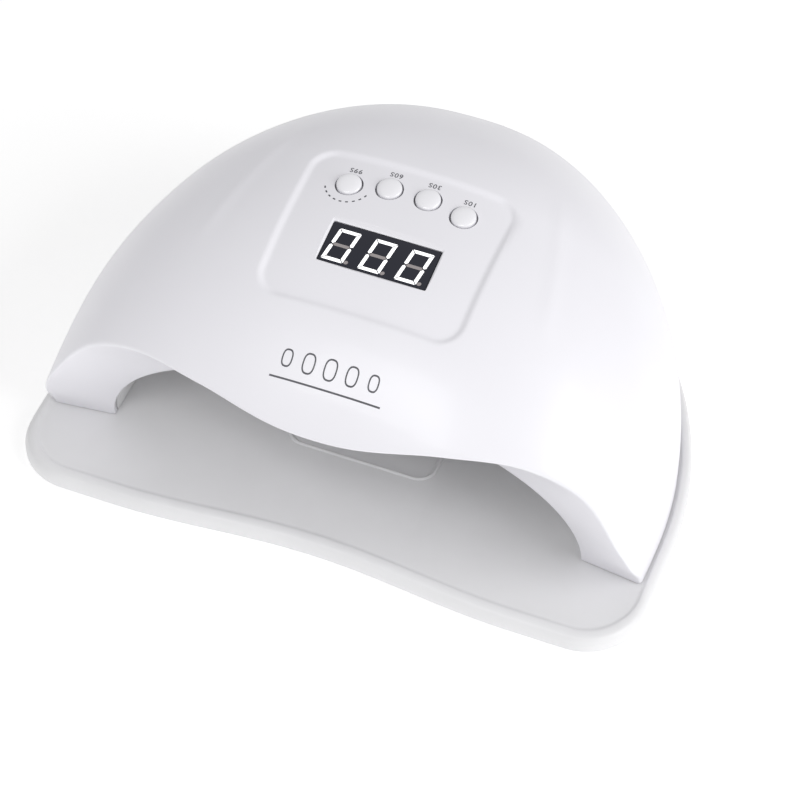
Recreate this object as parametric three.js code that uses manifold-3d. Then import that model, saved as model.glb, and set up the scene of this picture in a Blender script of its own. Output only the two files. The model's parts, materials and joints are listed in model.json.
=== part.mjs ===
// Desktop UV LED nail lamp: a domed lamp head that lifts off a flat base tray.
// Millimetres. +X is the user's right, -Y is the open front, +Z is up.
// The origin is on the table, under the middle of the bounding box.
import * as THREE from "three";
import { mergeVertices } from "three/addons/utils/BufferGeometryUtils.js";
import Module from "manifold-3d";

const wasm = await Module();
wasm.setup();

// ---------------------------------------------------------------- driving dimensions
const GAP = 0.3; // clearance between separate pieces

// Outer dome: each cross-section at y is half a superellipse.
const DOME = {
  halfWidth: 112.4,
  widestY: -46.2,
  rearY: 89.6,
  planPower: 2.09,
  planRoot: 1.75,
  height: 92.9,
  crestY: 7.6,
  rearPower: 1.73,
  rearRoot: 2.59,
  frontDrop: 0.437,
  frontPower: 2.9,
  frontTaper: 0.1,
  section: 2.44,
};
const SHELL_Z = 7; // lower edge of the lamp head
const WALL = 2.6;
// The front edge of the dome: [angle up the cross-section in degrees, y].
const FRONT_EDGE = [
  [0, -63],
  [8, -70.5],
  [18, -74.3],
  [40, -72.6],
  [55, -75.8],
  [71, -82.6],
  [90, -89],
];

// Hand cavity: an arch of constant section that closes in a round rear. Its mouth leans
// forward from the feet to the crown.
const CAVITY = {
  halfWidth: 89,
  height: 52,
  footY: -60.2,
  lean: 2,
  taperY: -8,
  rearY: 66,
  planPower: 2.6,
  planRoot: 1.6,
  riseRoot: 2,
  section: 2,
};
const BAND = 2.2; // thickness of the return band round the mouth
const LINER = 1.8;
const FLANGE_Z = 8.2;
const FLANGE = 2;
const CUP_R = 6.6; // round walls that hold the magnets and the screws
const CUP_TOP = 12.3;
const BOSS_R = 4.3;
const BOSS_TOP = 12.5;
const POST = { r: 3.5, z: 12.9, boardR: 2.6, top: 62 };

// Base tray
const FLOOR_Z = 6.6;
const TRAY_SKIN = 2.3;
const TRAY_MARGIN = 4.8; // how far the tray stands out past the dome
const FRONT_Y = -91.9; // middle of the tray's wavy front edge
const FRONT_WAVE = 2.5;
const WAVE_X = 75;
const CORNER = { x: 95, y: -72.4, r: 22 };
// [distance in from the outline, z], from the foot of the wall to the floor
const RIM_PROFILE = [
  [1, 0.6],
  [0, 1.8],
  [0.1, 4],
  [0.8, 6],
  [2.2, 7.4],
  [3.7, 7.4],
  [4.5, FLOOR_Z],
];
const TRAY_WALL = 3.2;
const RECESS = { halfWidth: 27.4, frontY: -47.1, rearY: 30, depth: 1.3, corner: 6 };
const FOOT = { r: 6, h: 2.2, places: [[88, -78], [-88, -78], [52, 58], [-52, 58]] };
const MAGNET = { r: 5, h: 3, z: 7.6, places: [[99, -36], [-99, -36], [22, 73], [-22, 73]] };
const KEEPER = { h: 1.2, z: 3.8 };
const SCREW = {
  r: 1.45,
  headR: 2.8,
  headH: 1.6,
  length: 10,
  z: 8.3,
  places: [[99.5, -50.5], [-99.5, -50.5], [98.5, -18], [-98.5, -18], [59.5, 54], [-59.5, 54]],
};

// Control panel: everything on it stands square to a plane tilted towards the front.
const PANEL = { x: 1, y: -18, z: 97.9, tilt: THREE.MathUtils.degToRad(9), sink: 1.2 };
const PANEL_SHAPE = { halfTop: 38.8, halfBottom: 37.6, topY: 10.5, bottomY: -54, corner: 9.5 };
const WINDOW = { x: 39.2, y: 16.4, t: 1, v: -11.1, top: -0.9 };
const BOARD = { x: 70, y: 54, t: 1.6, v: -2, top: -12.6 };
const BUTTON = { r: 4.7, proud: 1.3, crown: 0.9, lip: 1, stemR: 2 };
const BUTTONS = [
  ["99s", -21.2, 14],
  ["60s", -7.2, 16.6],
  ["30s", 7, 16.6],
  ["10s", 21, 14],
];
// Tact switch: a square case with a round well for its plunger.
const SWITCH = {
  side: 6,
  bottom: BOARD.top + GAP,
  top: BOARD.top + 3.3,
  plungerTop: BOARD.top + 4.5,
  plungerR: 1.6,
};
const BOARD_POSTS = [[-31, -24], [31, -24], [-31, 20], [31, 20]];

// LED boards: rows along the arch at these section angles, and two at the rear.
const BEAD = { r: 2.7, hole: 3.2, pitch: 12, stand: 3 };
const LED_ROWS = [
  ["right", 22],
  ["upper_right", 54],
  ["top", 90],
  ["upper_left", 126],
  ["left", 158],
];
const LED_ROW_Y = -18;
const LED_REAR = [["rear_right", 52], ["rear_left", 128]];
const LED_REAR_Y = 43;
const LED_BOARD = { width: 12, t: 1.2 };
const SENSORS = [["left", 96], ["right", 84]];
const SENSOR_Y = -54.5;
const SENSOR_R = 2.5;

// Power socket and vents at the rear
const JACK = { y: 73, z: 20, barrelR: 3.9, boreR: 2.8, pinR: 0.9, depth: 11, height: 11, width: 10 };
const VENT = { width: 18, height: 1.8, levels: [36, 40, 44] };

// ---------------------------------------------------------------- solids and booleans
function toManifold(geometry) {
  const g = geometry.clone();
  g.deleteAttribute("normal");
  g.deleteAttribute("uv");
  const merged = mergeVertices(g, 1e-4);
  return new wasm.Manifold(
    new wasm.Mesh({
      numProp: 3,
      vertProperties: new Float32Array(merged.attributes.position.array),
      triVerts: new Uint32Array(merged.index.array),
    }),
  );
}

function toGeometry(solid) {
  const mesh = solid.getMesh();
  const g = new THREE.BufferGeometry();
  g.setAttribute("position", new THREE.BufferAttribute(mesh.vertProperties.slice(), 3));
  g.setIndex(new THREE.BufferAttribute(mesh.triVerts.slice(), 1));
  return g;
}

function join(solids) {
  return solids.reduce((sum, solid) => sum.add(solid));
}

function cut(solid, tools) {
  return tools.reduce((left, tool) => left.subtract(tool), solid);
}

const at = (x, y, z) => new THREE.Matrix4().makeTranslation(x, y, z);

function boxSolid(sx, sy, sz, matrix) {
  return toManifold(new THREE.BoxGeometry(sx, sy, sz).applyMatrix4(matrix));
}

// A cylinder along local +Z from z0 to z1.
function rodGeometry(r, z0, z1, sides = 14) {
  return new THREE.CylinderGeometry(r, r, z1 - z0, sides)
    .rotateX(Math.PI / 2)
    .translate(0, 0, (z0 + z1) / 2);
}

function rodSolid(r, z0, z1, matrix, sides = 14) {
  return toManifold(rodGeometry(r, z0, z1, sides).applyMatrix4(matrix));
}

// A turned piece about local +Z, from [radius, z] points that start and end on the axis.
function turned(points, sides = 14) {
  const profile = points.map(([r, z]) => new THREE.Vector2(r, z));
  return new THREE.LatheGeometry(profile, sides).rotateX(Math.PI / 2);
}

function plate(shape, z0, z1) {
  return new THREE.ExtrudeGeometry(shape, {
    depth: z1 - z0,
    bevelEnabled: false,
    curveSegments: 6,
  }).translate(0, 0, z0);
}

// A rounded outline: a rectangle, or a trapezium when the top and bottom widths differ.
function roundedOutline(halfTop, halfBottom, y0, y1, r) {
  const s = new THREE.Shape();
  s.moveTo(-halfBottom + r, y0);
  s.lineTo(halfBottom - r, y0);
  s.quadraticCurveTo(halfBottom, y0, halfBottom, y0 + r);
  s.lineTo(halfTop, y1 - r);
  s.quadraticCurveTo(halfTop, y1, halfTop - r, y1);
  s.lineTo(-halfTop + r, y1);
  s.quadraticCurveTo(-halfTop, y1, -halfTop, y1 - r);
  s.lineTo(-halfBottom, y0 + r);
  s.quadraticCurveTo(-halfBottom, y0, -halfBottom + r, y0);
  return s;
}

// ---------------------------------------------------------------- dome and cavity surfaces
function domeWidth(y) {
  const u = (y - DOME.widestY) / (DOME.rearY - DOME.widestY);
  if (u < 0) return DOME.halfWidth * (1 - DOME.frontTaper * ((DOME.widestY - y) / 100) ** 2);
  return DOME.halfWidth * Math.max(0, 1 - u ** DOME.planPower) ** (1 / DOME.planRoot);
}

function domeHeight(y) {
  const v = (y - DOME.crestY) / (DOME.rearY - DOME.crestY);
  if (v < 0) return DOME.height * (1 - DOME.frontDrop * ((DOME.crestY - y) / 100) ** DOME.frontPower);
  return DOME.height * Math.max(0, 1 - v ** DOME.rearPower) ** (1 / DOME.rearRoot);
}

function cavityWidth(y) {
  const u = Math.max(0, (y - CAVITY.taperY) / (CAVITY.rearY - CAVITY.taperY));
  return CAVITY.halfWidth * Math.max(0, 1 - u ** CAVITY.planPower) ** (1 / CAVITY.planRoot);
}

function cavityHeight(y) {
  const u = Math.max(0, (y - CAVITY.taperY) / (CAVITY.rearY - CAVITY.taperY));
  return CAVITY.height * Math.max(0, 1 - u ** CAVITY.planPower) ** (1 / CAVITY.riseRoot);
}

// A point of a cross-section, at angle a from the right foot (0) over the top to the left foot (PI).
function arch(a, y, halfWidth, height, power) {
  const c = Math.cos(a);
  const s = Math.max(0, Math.sin(a));
  const x = Math.sign(c) * halfWidth * Math.abs(c) ** (2 / power);
  return new THREE.Vector3(x, y, SHELL_Z + height * s ** (2 / power));
}

// The dome, or a surface inset from it. The pole at the rear moves in by the same inset.
function domePoint(a, y, inset = 0) {
  const squeeze = (DOME.rearY - DOME.widestY) / (DOME.rearY - inset - DOME.widestY);
  const outerY = y > DOME.widestY ? DOME.widestY + (y - DOME.widestY) * squeeze : y;
  const shrink = 1 - inset / DOME.halfWidth;
  const sink = 1 - inset / DOME.height;
  return arch(a, y, domeWidth(outerY) * shrink, domeHeight(outerY) * sink, DOME.section);
}

function cavityPoint(a, y, outset = 0) {
  const stretch = (CAVITY.rearY - CAVITY.taperY) / (CAVITY.rearY + outset - CAVITY.taperY);
  const innerY = y > CAVITY.taperY ? CAVITY.taperY + (y - CAVITY.taperY) * stretch : y;
  const grow = 1 + outset / CAVITY.halfWidth;
  const lift = 1 + outset / CAVITY.height;
  return arch(a, y, cavityWidth(innerY) * grow, cavityHeight(innerY) * lift, CAVITY.section);
}

function domeZ(x, y) {
  const share = Math.abs(x) / domeWidth(y);
  return SHELL_Z + domeHeight(y) * (1 - share ** DOME.section) ** (1 / DOME.section);
}

const frontCurve = new THREE.CatmullRomCurve3(
  FRONT_EDGE.map(([angle, y]) => new THREE.Vector3(angle, y, 0)),
);

// The y of the dome's front edge at section angle a, the same on both sides.
function frontEdgeY(a) {
  const angle = THREE.MathUtils.radToDeg(Math.min(a, Math.PI - a));
  let low = 0;
  let high = 1;
  for (let i = 0; i < 30; i++) {
    const middle = (low + high) / 2;
    if (frontCurve.getPoint(middle).x < angle) low = middle;
    else high = middle;
  }
  return frontCurve.getPoint(low).y;
}

// Angles for a row of points: close together near the feet, where the section turns fastest.
function rowAngles(count) {
  return Array.from({ length: count + 1 }, (_, i) => {
    const t = i / count;
    return Math.PI * (t - Math.sin(2 * Math.PI * t) / (4 * Math.PI));
  });
}

// A closed sheet of real thickness. outer and inner are rows of points, from a single pole
// to the open edge, and each row runs from the right foot to the left foot.
function sheetSolid(outer, inner) {
  const positions = [];
  const index = [];
  const number = (p) => positions.push(p.x, p.y, p.z) / 3 - 1;
  const numbered = (rows) => rows.map((row, j) => {
    if (j > 0) return row.map(number);
    const pole = number(row[0]);
    return row.map(() => pole);
  });
  const quad = (a, b, c, d) => {
    if (a !== b && b !== c && a !== c) index.push(a, b, c);
    if (a !== c && c !== d && a !== d) index.push(a, c, d);
  };
  const out = numbered(outer);
  const inn = numbered(inner);
  const last = out.length - 1;
  const end = out[0].length - 1;
  for (let j = 0; j < last; j++) {
    for (let i = 0; i < end; i++) {
      quad(out[j][i], out[j][i + 1], out[j + 1][i + 1], out[j + 1][i]);
      quad(inn[j][i], inn[j + 1][i], inn[j + 1][i + 1], inn[j][i + 1]);
    }
    quad(out[j][0], out[j + 1][0], inn[j + 1][0], inn[j][0]);
    quad(out[j][end], inn[j][end], inn[j + 1][end], out[j + 1][end]);
  }
  for (let i = 0; i < end; i++) {
    quad(out[last][i], out[last][i + 1], inn[last][i + 1], inn[last][i]);
  }
  const g = new THREE.BufferGeometry();
  g.setAttribute("position", new THREE.Float32BufferAttribute(positions, 3));
  g.setIndex(index);
  return toManifold(g);
}

// Share of the way from the pole to the front edge, with rows close together at the round rear.
const rowShare = (j, count) => Math.sin((j / count) * (Math.PI / 2)) ** 1.6;

// ---------------------------------------------------------------- upper housing
const HOUSING_ANGLES = rowAngles(26);
const HOUSING_ROWS = 12;
const BAND_ROWS = 2;

const mouthY = (a) => CAVITY.footY - CAVITY.lean * Math.sqrt(Math.max(0, Math.sin(a)));

const mouthPoint = (a) =>
  arch(a, mouthY(a), CAVITY.halfWidth, CAVITY.height, CAVITY.section);

// Direction square to the return band, away from the front and the cavity.
function bandNormal(a) {
  const step = 0.01;
  const b = Math.min(Math.max(a, step), Math.PI - step);
  const along = mouthPoint(b + step).sub(mouthPoint(b - step));
  const across = domePoint(b, frontEdgeY(b)).sub(mouthPoint(b));
  return along.cross(across).normalize();
}

function housingShell() {
  const outer = [];
  const inner = [];
  for (let j = 0; j <= HOUSING_ROWS; j++) {
    const share = rowShare(j, HOUSING_ROWS);
    const row = (inset) => HOUSING_ANGLES.map((a) => {
      const rear = DOME.rearY - inset;
      const front = frontEdgeY(a) + inset;
      return domePoint(a, rear + (front - rear) * share, inset);
    });
    outer.push(row(0));
    inner.push(row(WALL));
  }
  for (let k = 1; k <= BAND_ROWS; k++) {
    const share = k / BAND_ROWS;
    const row = HOUSING_ANGLES.map((a) =>
      domePoint(a, frontEdgeY(a)).lerp(mouthPoint(a), share));
    outer.push(row);
    inner.push(row.map((p, i) => {
      const behind = p.clone().addScaledVector(bandNormal(HOUSING_ANGLES[i]), BAND);
      behind.z = i === 0 || i === row.length - 1 ? SHELL_Z : Math.max(behind.z, SHELL_Z);
      return behind;
    }));
  }
  return sheetSolid(outer, inner);
}

// A solid dome inset from the outer surface, used to trim posts and the panel recess.
function domeBlock(inset) {
  const rows = 12;
  const angles = rowAngles(26);
  const front = FRONT_EDGE.at(-1)[1];
  const rear = DOME.rearY - inset;
  const outer = Array.from({ length: rows + 1 }, (_, j) =>
    angles.map((a) => domePoint(a, rear + (front - rear) * rowShare(j, rows), inset)));
  const inner = outer.map((row) => row.map((p) => new THREE.Vector3(0, p.y, SHELL_Z)));
  return sheetSolid(outer, inner.map((row, j) => (j === 0 ? outer[0] : row)));
}

const panelFrame = new THREE.Matrix4()
  .makeRotationX(PANEL.tilt)
  .setPosition(PANEL.x, PANEL.y, PANEL.z);
const onPanel = (x, v, n = 0) => panelFrame.clone().multiply(at(x, v, n));

// Height, square to the panel plane, of the recessed panel surface at panel position x, v.
function panelSurface(x, v) {
  const y = PANEL.y + v * Math.cos(PANEL.tilt);
  const rise = domeZ(PANEL.x + x, y) - PANEL.sink - PANEL.z - v * Math.sin(PANEL.tilt);
  return rise * Math.cos(PANEL.tilt);
}

function panelCutter(block) {
  const p = PANEL_SHAPE;
  const outline = roundedOutline(p.halfTop, p.halfBottom, p.bottomY, p.topY, p.corner);
  const column = plate(outline, SHELL_Z + DOME.height / 2, SHELL_Z + DOME.height + 5);
  return toManifold(column.translate(PANEL.x, 0, 0)).subtract(block);
}

function jackHole() {
  const through = new THREE.Matrix4().makeRotationX(-Math.PI / 2).setPosition(0, 0, JACK.z);
  return rodSolid(JACK.barrelR + GAP, JACK.y, DOME.rearY + 5, through);
}

function ventSlots() {
  return VENT.levels.map((z) => boxSolid(VENT.width, 30, VENT.height, at(0, DOME.rearY, z)));
}

function upperHousing() {
  const posts = SCREW.places.map(([x, y]) =>
    rodSolid(POST.r, POST.z, POST.top, at(x, y, 0), 10));
  const boardPosts = BOARD_POSTS.map(([x, v]) =>
    rodSolid(POST.boardR, BOARD.top + GAP, 6, onPanel(x, v), 10));
  const inWall = domeBlock(WALL / 2);
  const trimmed = [...posts, ...boardPosts].map((p) => p.intersect(inWall));
  const body = join([housingShell(), ...trimmed]);
  const screwHoles = SCREW.places.map(([x, y]) =>
    rodSolid(SCREW.r + GAP, 10, 21, at(x, y, 0), 10));
  const boardHoles = BOARD_POSTS.map(([x, v]) =>
    rodSolid(1.3, BOARD.top - 1, BOARD.top + 5.5, onPanel(x, v), 8));
  const buttonHoles = BUTTONS.map(([, x, v]) =>
    rodSolid(BUTTON.r + GAP, -6, 5, onPanel(x, v), 16));
  const display = boxSolid(WINDOW.x + 2 * GAP, WINDOW.y + 2 * GAP, 14, onPanel(0, WINDOW.v));
  return cut(body, [
    panelCutter(domeBlock(PANEL.sink)),
    display,
    ...buttonHoles,
    ...screwHoles,
    ...boardHoles,
    jackHole(),
    ...ventSlots(),
  ]);
}

// ---------------------------------------------------------------- inner liner
const LINER_ANGLES = rowAngles(20);
const LINER_ROWS = 9;

function linerFrontY(a) {
  return mouthY(a) + BAND * bandNormal(a).y + 2 * GAP;
}

function linerShell() {
  const rows = (outset) => Array.from({ length: LINER_ROWS + 1 }, (_, j) =>
    LINER_ANGLES.map((a) => {
      const rear = CAVITY.rearY + outset;
      const front = linerFrontY(a);
      return cavityPoint(a, rear + (front - rear) * rowShare(j, LINER_ROWS), outset);
    }));
  return sheetSolid(rows(LINER), rows(0));
}

// The flat flange round the foot of the liner, open at the front.
function linerFlange() {
  const steps = 14;
  const front = CAVITY.footY + BAND + 2 * GAP;
  const side = (point, rear, sign) => Array.from({ length: steps + 1 }, (_, j) => {
    const p = point(rear + (front - rear) * rowShare(j, steps));
    return new THREE.Vector2(sign * p.x, p.y);
  });
  const inset = WALL + 3 * GAP;
  const edge = (y) => domePoint(0, y, inset);
  const wall = (y) => cavityPoint(0, y, LINER / 2);
  const outline = [
    ...side(edge, DOME.rearY - inset, 1).reverse(),
    ...side(edge, DOME.rearY - inset, -1).slice(1),
    ...side(wall, CAVITY.rearY + LINER / 2, -1).reverse(),
    ...side(wall, CAVITY.rearY + LINER / 2, 1).slice(1),
  ];
  return toManifold(plate(new THREE.Shape(outline), FLANGE_Z, FLANGE_Z + FLANGE));
}

// A frame on the liner: origin on its outer face, +Z out of it, +Y along the given direction.
function linerFrame(a, y, along) {
  const step = 0.02;
  const origin = cavityPoint(a, y, LINER);
  const lengthwise = cavityPoint(a, y + 1, LINER).sub(cavityPoint(a, y - 1, LINER)).normalize();
  const around = cavityPoint(a - step, y, LINER).sub(cavityPoint(a + step, y, LINER)).normalize();
  const normal = around.clone().cross(lengthwise).normalize();
  const main = along === "y" ? lengthwise : around;
  const third = main.clone().cross(normal);
  return new THREE.Matrix4().makeBasis(third, main, normal).setPosition(origin);
}

const LED_BOARDS = [
  ...LED_ROWS.map(([name, angle]) => ({ name, count: 6, frame: ledFrame(angle, LED_ROW_Y, "y") })),
  ...LED_REAR.map(([name, angle]) => ({ name, count: 3, frame: ledFrame(angle, LED_REAR_Y, "x") })),
];

function ledFrame(angle, y, along) {
  return linerFrame(THREE.MathUtils.degToRad(angle), y, along);
}

function beadPlaces(board) {
  return Array.from({ length: board.count }, (_, i) => {
    const offset = (i - (board.count - 1) / 2) * BEAD.pitch;
    return board.frame.clone().multiply(at(0, offset, 0));
  });
}

function innerLiner() {
  const beadHoles = LED_BOARDS.flatMap(beadPlaces).map((m) => rodSolid(BEAD.hole, -7, 2.5, m, 8));
  const sensorHoles = SENSORS.map(([, angle]) =>
    rodSolid(SENSOR_R + GAP, -5, 2, ledFrame(angle, SENSOR_Y, "y"), 12));
  const cups = MAGNET.places.map(([x, y]) => rodSolid(CUP_R, FLANGE_Z, CUP_TOP, at(x, y, 0)));
  const bosses = SCREW.places.map(([x, y]) => rodSolid(BOSS_R, FLANGE_Z, BOSS_TOP, at(x, y, 0)));
  const pockets = MAGNET.places.map(([x, y]) => rodSolid(MAGNET.r + GAP, 5, 11, at(x, y, 0)));
  const bores = SCREW.places.flatMap(([x, y]) => [
    rodSolid(SCREW.r + GAP, 5, 20, at(x, y, 0), 10),
    rodSolid(SCREW.headR + GAP, 5, 10.2, at(x, y, 0), 14),
  ]);
  const inside = domeBlock(WALL + 2 * GAP);
  const trimmed = [...cups, ...bosses].map((p) => p.intersect(inside));
  const solid = join([linerShell(), linerFlange(), ...trimmed]);
  return cut(solid, [...beadHoles, ...sensorHoles, ...pockets, ...bores]);
}

// ---------------------------------------------------------------- base tray
// Half of the tray's outline, from the middle of the front round the right side to the rear.
function trayHalf() {
  const points = [];
  const frontSteps = 9;
  for (let i = 0; i < frontSteps; i++) {
    const x = (CORNER.x * i) / frontSteps;
    const wave = x < WAVE_X ? Math.cos((Math.PI * x) / WAVE_X) : -1;
    points.push(new THREE.Vector2(x, FRONT_Y + FRONT_WAVE * wave));
  }
  for (let i = 0; i <= 5; i++) {
    const t = (i / 5) * (Math.PI / 2);
    const corner = new THREE.Vector2(CORNER.x, CORNER.y);
    points.push(corner.add(new THREE.Vector2(Math.sin(t), -Math.cos(t)).multiplyScalar(CORNER.r)));
  }
  const sideSteps = 12;
  for (let j = 1; j <= sideSteps; j++) {
    const share = 1 - rowShare(sideSteps - j, sideSteps);
    const y = DOME.widestY + (DOME.rearY - DOME.widestY) * share;
    const step = 0.05;
    const before = domeWidth(Math.max(y - step, DOME.widestY));
    const slope = (domeWidth(Math.min(y + step, DOME.rearY)) - before) / (2 * step);
    const out = j === sideSteps ? new THREE.Vector2(0, 1) : new THREE.Vector2(1, -slope).normalize();
    points.push(new THREE.Vector2(domeWidth(y), y).addScaledVector(out, TRAY_MARGIN));
  }
  return points;
}

function trayOutline() {
  const half = trayHalf();
  const left = half.slice(1, -1).reverse().map((p) => new THREE.Vector2(-p.x, p.y));
  return [...half, ...left];
}

// The outline moved in by a distance, each point along its own normal.
function insetOutline(points, distance) {
  return points.map((p, i) => {
    const before = points.at(i - 1);
    const after = points[(i + 1) % points.length];
    const inward = new THREE.Vector2(before.y - after.y, after.x - before.x).normalize();
    return p.clone().addScaledVector(inward, distance);
  });
}

// A solid lofted through level rings, which all have the same number of points.
function ringSolid(rings) {
  const positions = rings.flatMap(({ points, z }) => points.flatMap((p) => [p.x, p.y, z]));
  const count = rings[0].points.length;
  const index = [];
  for (let k = 0; k < rings.length - 1; k++) {
    for (let i = 0; i < count; i++) {
      const a = k * count + i;
      const b = k * count + ((i + 1) % count);
      index.push(a, b, b + count, a, b + count, a + count);
    }
  }
  const cap = (ring, base, flip) => {
    for (const [a, b, c] of THREE.ShapeUtils.triangulateShape(ring.points, [])) {
      if (flip) index.push(base + a, base + c, base + b);
      else index.push(base + a, base + b, base + c);
    }
  };
  cap(rings[0], 0, true);
  cap(rings.at(-1), (rings.length - 1) * count, false);
  const g = new THREE.BufferGeometry();
  g.setAttribute("position", new THREE.Float32BufferAttribute(positions, 3));
  g.setIndex(index);
  return toManifold(g);
}

function baseTray() {
  const outline = trayOutline();
  const ring = (distance, z) => ({ points: insetOutline(outline, distance), z });
  const solid = ringSolid(RIM_PROFILE.map(([distance, z]) => ring(distance, z)));
  const under = FLOOR_Z - TRAY_SKIN;
  const hollow = ringSolid([ring(TRAY_WALL, -1), ring(TRAY_WALL, under - 0.6), ring(5, under)]);
  const bosses = [
    ...FOOT.places.map(([x, y]) => rodSolid(8, 1, under + 0.5, at(x, y, 0))),
    ...MAGNET.places.map(([x, y]) => rodSolid(6.8, 3, under + 0.5, at(x, y, 0))),
  ];
  const r = RECESS;
  const outlineOfRecess = roundedOutline(r.halfWidth, r.halfWidth, r.frontY, r.rearY, r.corner);
  return cut(join([solid.subtract(hollow), ...bosses]), [
    toManifold(plate(outlineOfRecess, FLOOR_Z - r.depth, 20)),
    ...FOOT.places.map(([x, y]) => rodSolid(FOOT.r + GAP, -1, FOOT.h + GAP, at(x, y, 0))),
    ...MAGNET.places.map(([x, y]) =>
      rodSolid(MAGNET.r + GAP, -1, KEEPER.z + KEEPER.h + GAP, at(x, y, 0))),
  ]);
}

// ---------------------------------------------------------------- small pieces
function foot() {
  return turned([[0, 0], [FOOT.r - 0.5, 0], [FOOT.r, 0.5], [FOOT.r, FOOT.h], [0, FOOT.h]]);
}

function screw(r, headR, headH, length) {
  const tip = headH + length;
  return turned(
    [[0, 0], [headR, 0], [headR, headH], [r, headH], [r, tip - 1], [0, tip]],
    8,
  );
}

function button(surface) {
  const r = BUTTON.r;
  const top = surface + BUTTON.proud;
  const edge = top - BUTTON.crown;
  const lip = surface - 3;
  const end = SWITCH.plungerTop + GAP;
  return turned([
    [0, end],
    [BUTTON.stemR, end],
    [BUTTON.stemR, lip - 0.8],
    [r + BUTTON.lip, lip - 0.8],
    [r + BUTTON.lip, lip],
    [r, lip],
    [r, edge - 0.3],
    [r - 0.35, edge + 0.15],
    [r * 0.62, top - 0.28],
    [0, top],
  ], 16);
}

function switchCase() {
  const { side, bottom, top } = SWITCH;
  const box = boxSolid(side, side, top - bottom, at(0, 0, (top + bottom) / 2));
  const well = rodSolid(SWITCH.plungerR + GAP, top - 1.8, top + 1, at(0, 0, 0), 12);
  return toGeometry(box.subtract(well));
}

function plunger() {
  return rodGeometry(SWITCH.plungerR, SWITCH.top - 0.9, SWITCH.plungerTop, 12);
}

function controlBoard() {
  const boardBox = boxSolid(BOARD.x, BOARD.y, BOARD.t, at(0, BOARD.v, BOARD.top - BOARD.t / 2));
  const holes = BOARD_POSTS.map(([x, v]) =>
    rodSolid(1.3, BOARD.top - 4, BOARD.top + 2, at(x, v, 0), 8));
  return toGeometry(cut(boardBox, holes));
}

function ledBoard(board) {
  const length = (board.count - 1) * BEAD.pitch + 8;
  const { width, t } = LED_BOARD;
  const strip = boxSolid(width, length, t, at(0, 0, BEAD.stand + t / 2));
  const local = { count: board.count, frame: new THREE.Matrix4() };
  const beads = beadPlaces(local).map((m) => {
    const tip = -LINER - 0.6;
    const bead = turned(
      [[0, tip - 0.5], [BEAD.r, tip + 0.5], [BEAD.r, BEAD.stand + 0.4], [0, BEAD.stand + 0.4]],
      8,
    );
    return toManifold(bead.applyMatrix4(m));
  });
  return toGeometry(join([strip, ...beads]));
}

function sensor() {
  return turned([[0, -2.6], [1.6, -2.2], [SENSOR_R, -1.2], [SENSOR_R, 5], [0, 5]], 12);
}

// The socket: a square case with a round barrel that reaches into the housing's wall.
function dcJack() {
  const { y, z, width, height, depth, barrelR, boreR, pinR } = JACK;
  const along = new THREE.Matrix4().makeRotationX(-Math.PI / 2).setPosition(0, 0, z);
  const box = boxSolid(width, depth, height, at(0, y + depth / 2, z));
  const barrel = rodSolid(barrelR, y + depth - 1, DOME.rearY - 1.2, along, 16);
  const bore = rodSolid(boreR, y + 3, DOME.rearY + 1, along, 14);
  const pin = rodSolid(pinR, y + 2, DOME.rearY - 3, along, 8);
  return toGeometry(box.add(barrel).subtract(bore).add(pin));
}

function lead(points, r) {
  const path = new THREE.CatmullRomCurve3(points.map((p) => new THREE.Vector3(...p)));
  const section = new THREE.Shape();
  section.absarc(0, 0, r, 0, Math.PI * 2);
  return new THREE.ExtrudeGeometry(section, {
    steps: 14,
    extrudePath: path,
    bevelEnabled: false,
    curveSegments: 4,
  });
}

// ---------------------------------------------------------------- assembly
const root = new THREE.Group();
const head = new THREE.Group();
const panel = new THREE.Group();
panel.applyMatrix4(panelFrame);
head.add(panel);
root.add(head);

function material(color, roughness, metalness = 0) {
  return new THREE.MeshStandardMaterial({ color, roughness, metalness });
}
const whiteGloss = () => material(0xf2f2f4, 0.28);
const whiteSatin = () => material(0xe4e4e6, 0.4);
const keyWhite = () => material(0xf4f4f5, 0.3);
const rubber = () => material(0x3a3a3c, 0.85);
const steel = () => material(0xb9bbbe, 0.35, 1);
const smoked = () => material(0x14151c, 0.12);
const blackPlastic = () => material(0x1c1c1f, 0.5);
const circuit = () => material(0x1f5a3a, 0.55);
const whiteBoard = () => material(0xe9e9e4, 0.5);
const insulation = () => material(0xd8d8d8, 0.5);

function piece(parent, name, geometry, finish) {
  const mesh = new THREE.Mesh(geometry, finish);
  mesh.name = name;
  parent.add(mesh);
  return mesh;
}

function addTray() {
  piece(root, "base_tray", toGeometry(baseTray()), whiteSatin());
  FOOT.places.forEach(([x, y], i) => {
    piece(root, `foot_${i + 1}`, foot(), rubber()).position.set(x, y, 0);
    const [keeperX, keeperY] = MAGNET.places[i];
    const disc = rodGeometry(MAGNET.r, KEEPER.z, KEEPER.z + KEEPER.h);
    piece(root, `keeper_disc_${i + 1}`, disc, steel()).position.set(keeperX, keeperY, 0);
  });
}

function addShells() {
  piece(head, "upper_housing", toGeometry(upperHousing()), whiteGloss());
  piece(head, "inner_liner", toGeometry(innerLiner()), whiteSatin());
  MAGNET.places.forEach(([x, y], i) => {
    const disc = rodGeometry(MAGNET.r, MAGNET.z, MAGNET.z + MAGNET.h);
    piece(head, `magnet_${i + 1}`, disc, steel()).position.set(x, y, 0);
  });
  SCREW.places.forEach(([x, y], i) => {
    const made = screw(SCREW.r, SCREW.headR, SCREW.headH, SCREW.length);
    piece(head, `housing_screw_${i + 1}`, made, steel()).position.set(x, y, SCREW.z);
  });
}

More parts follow.
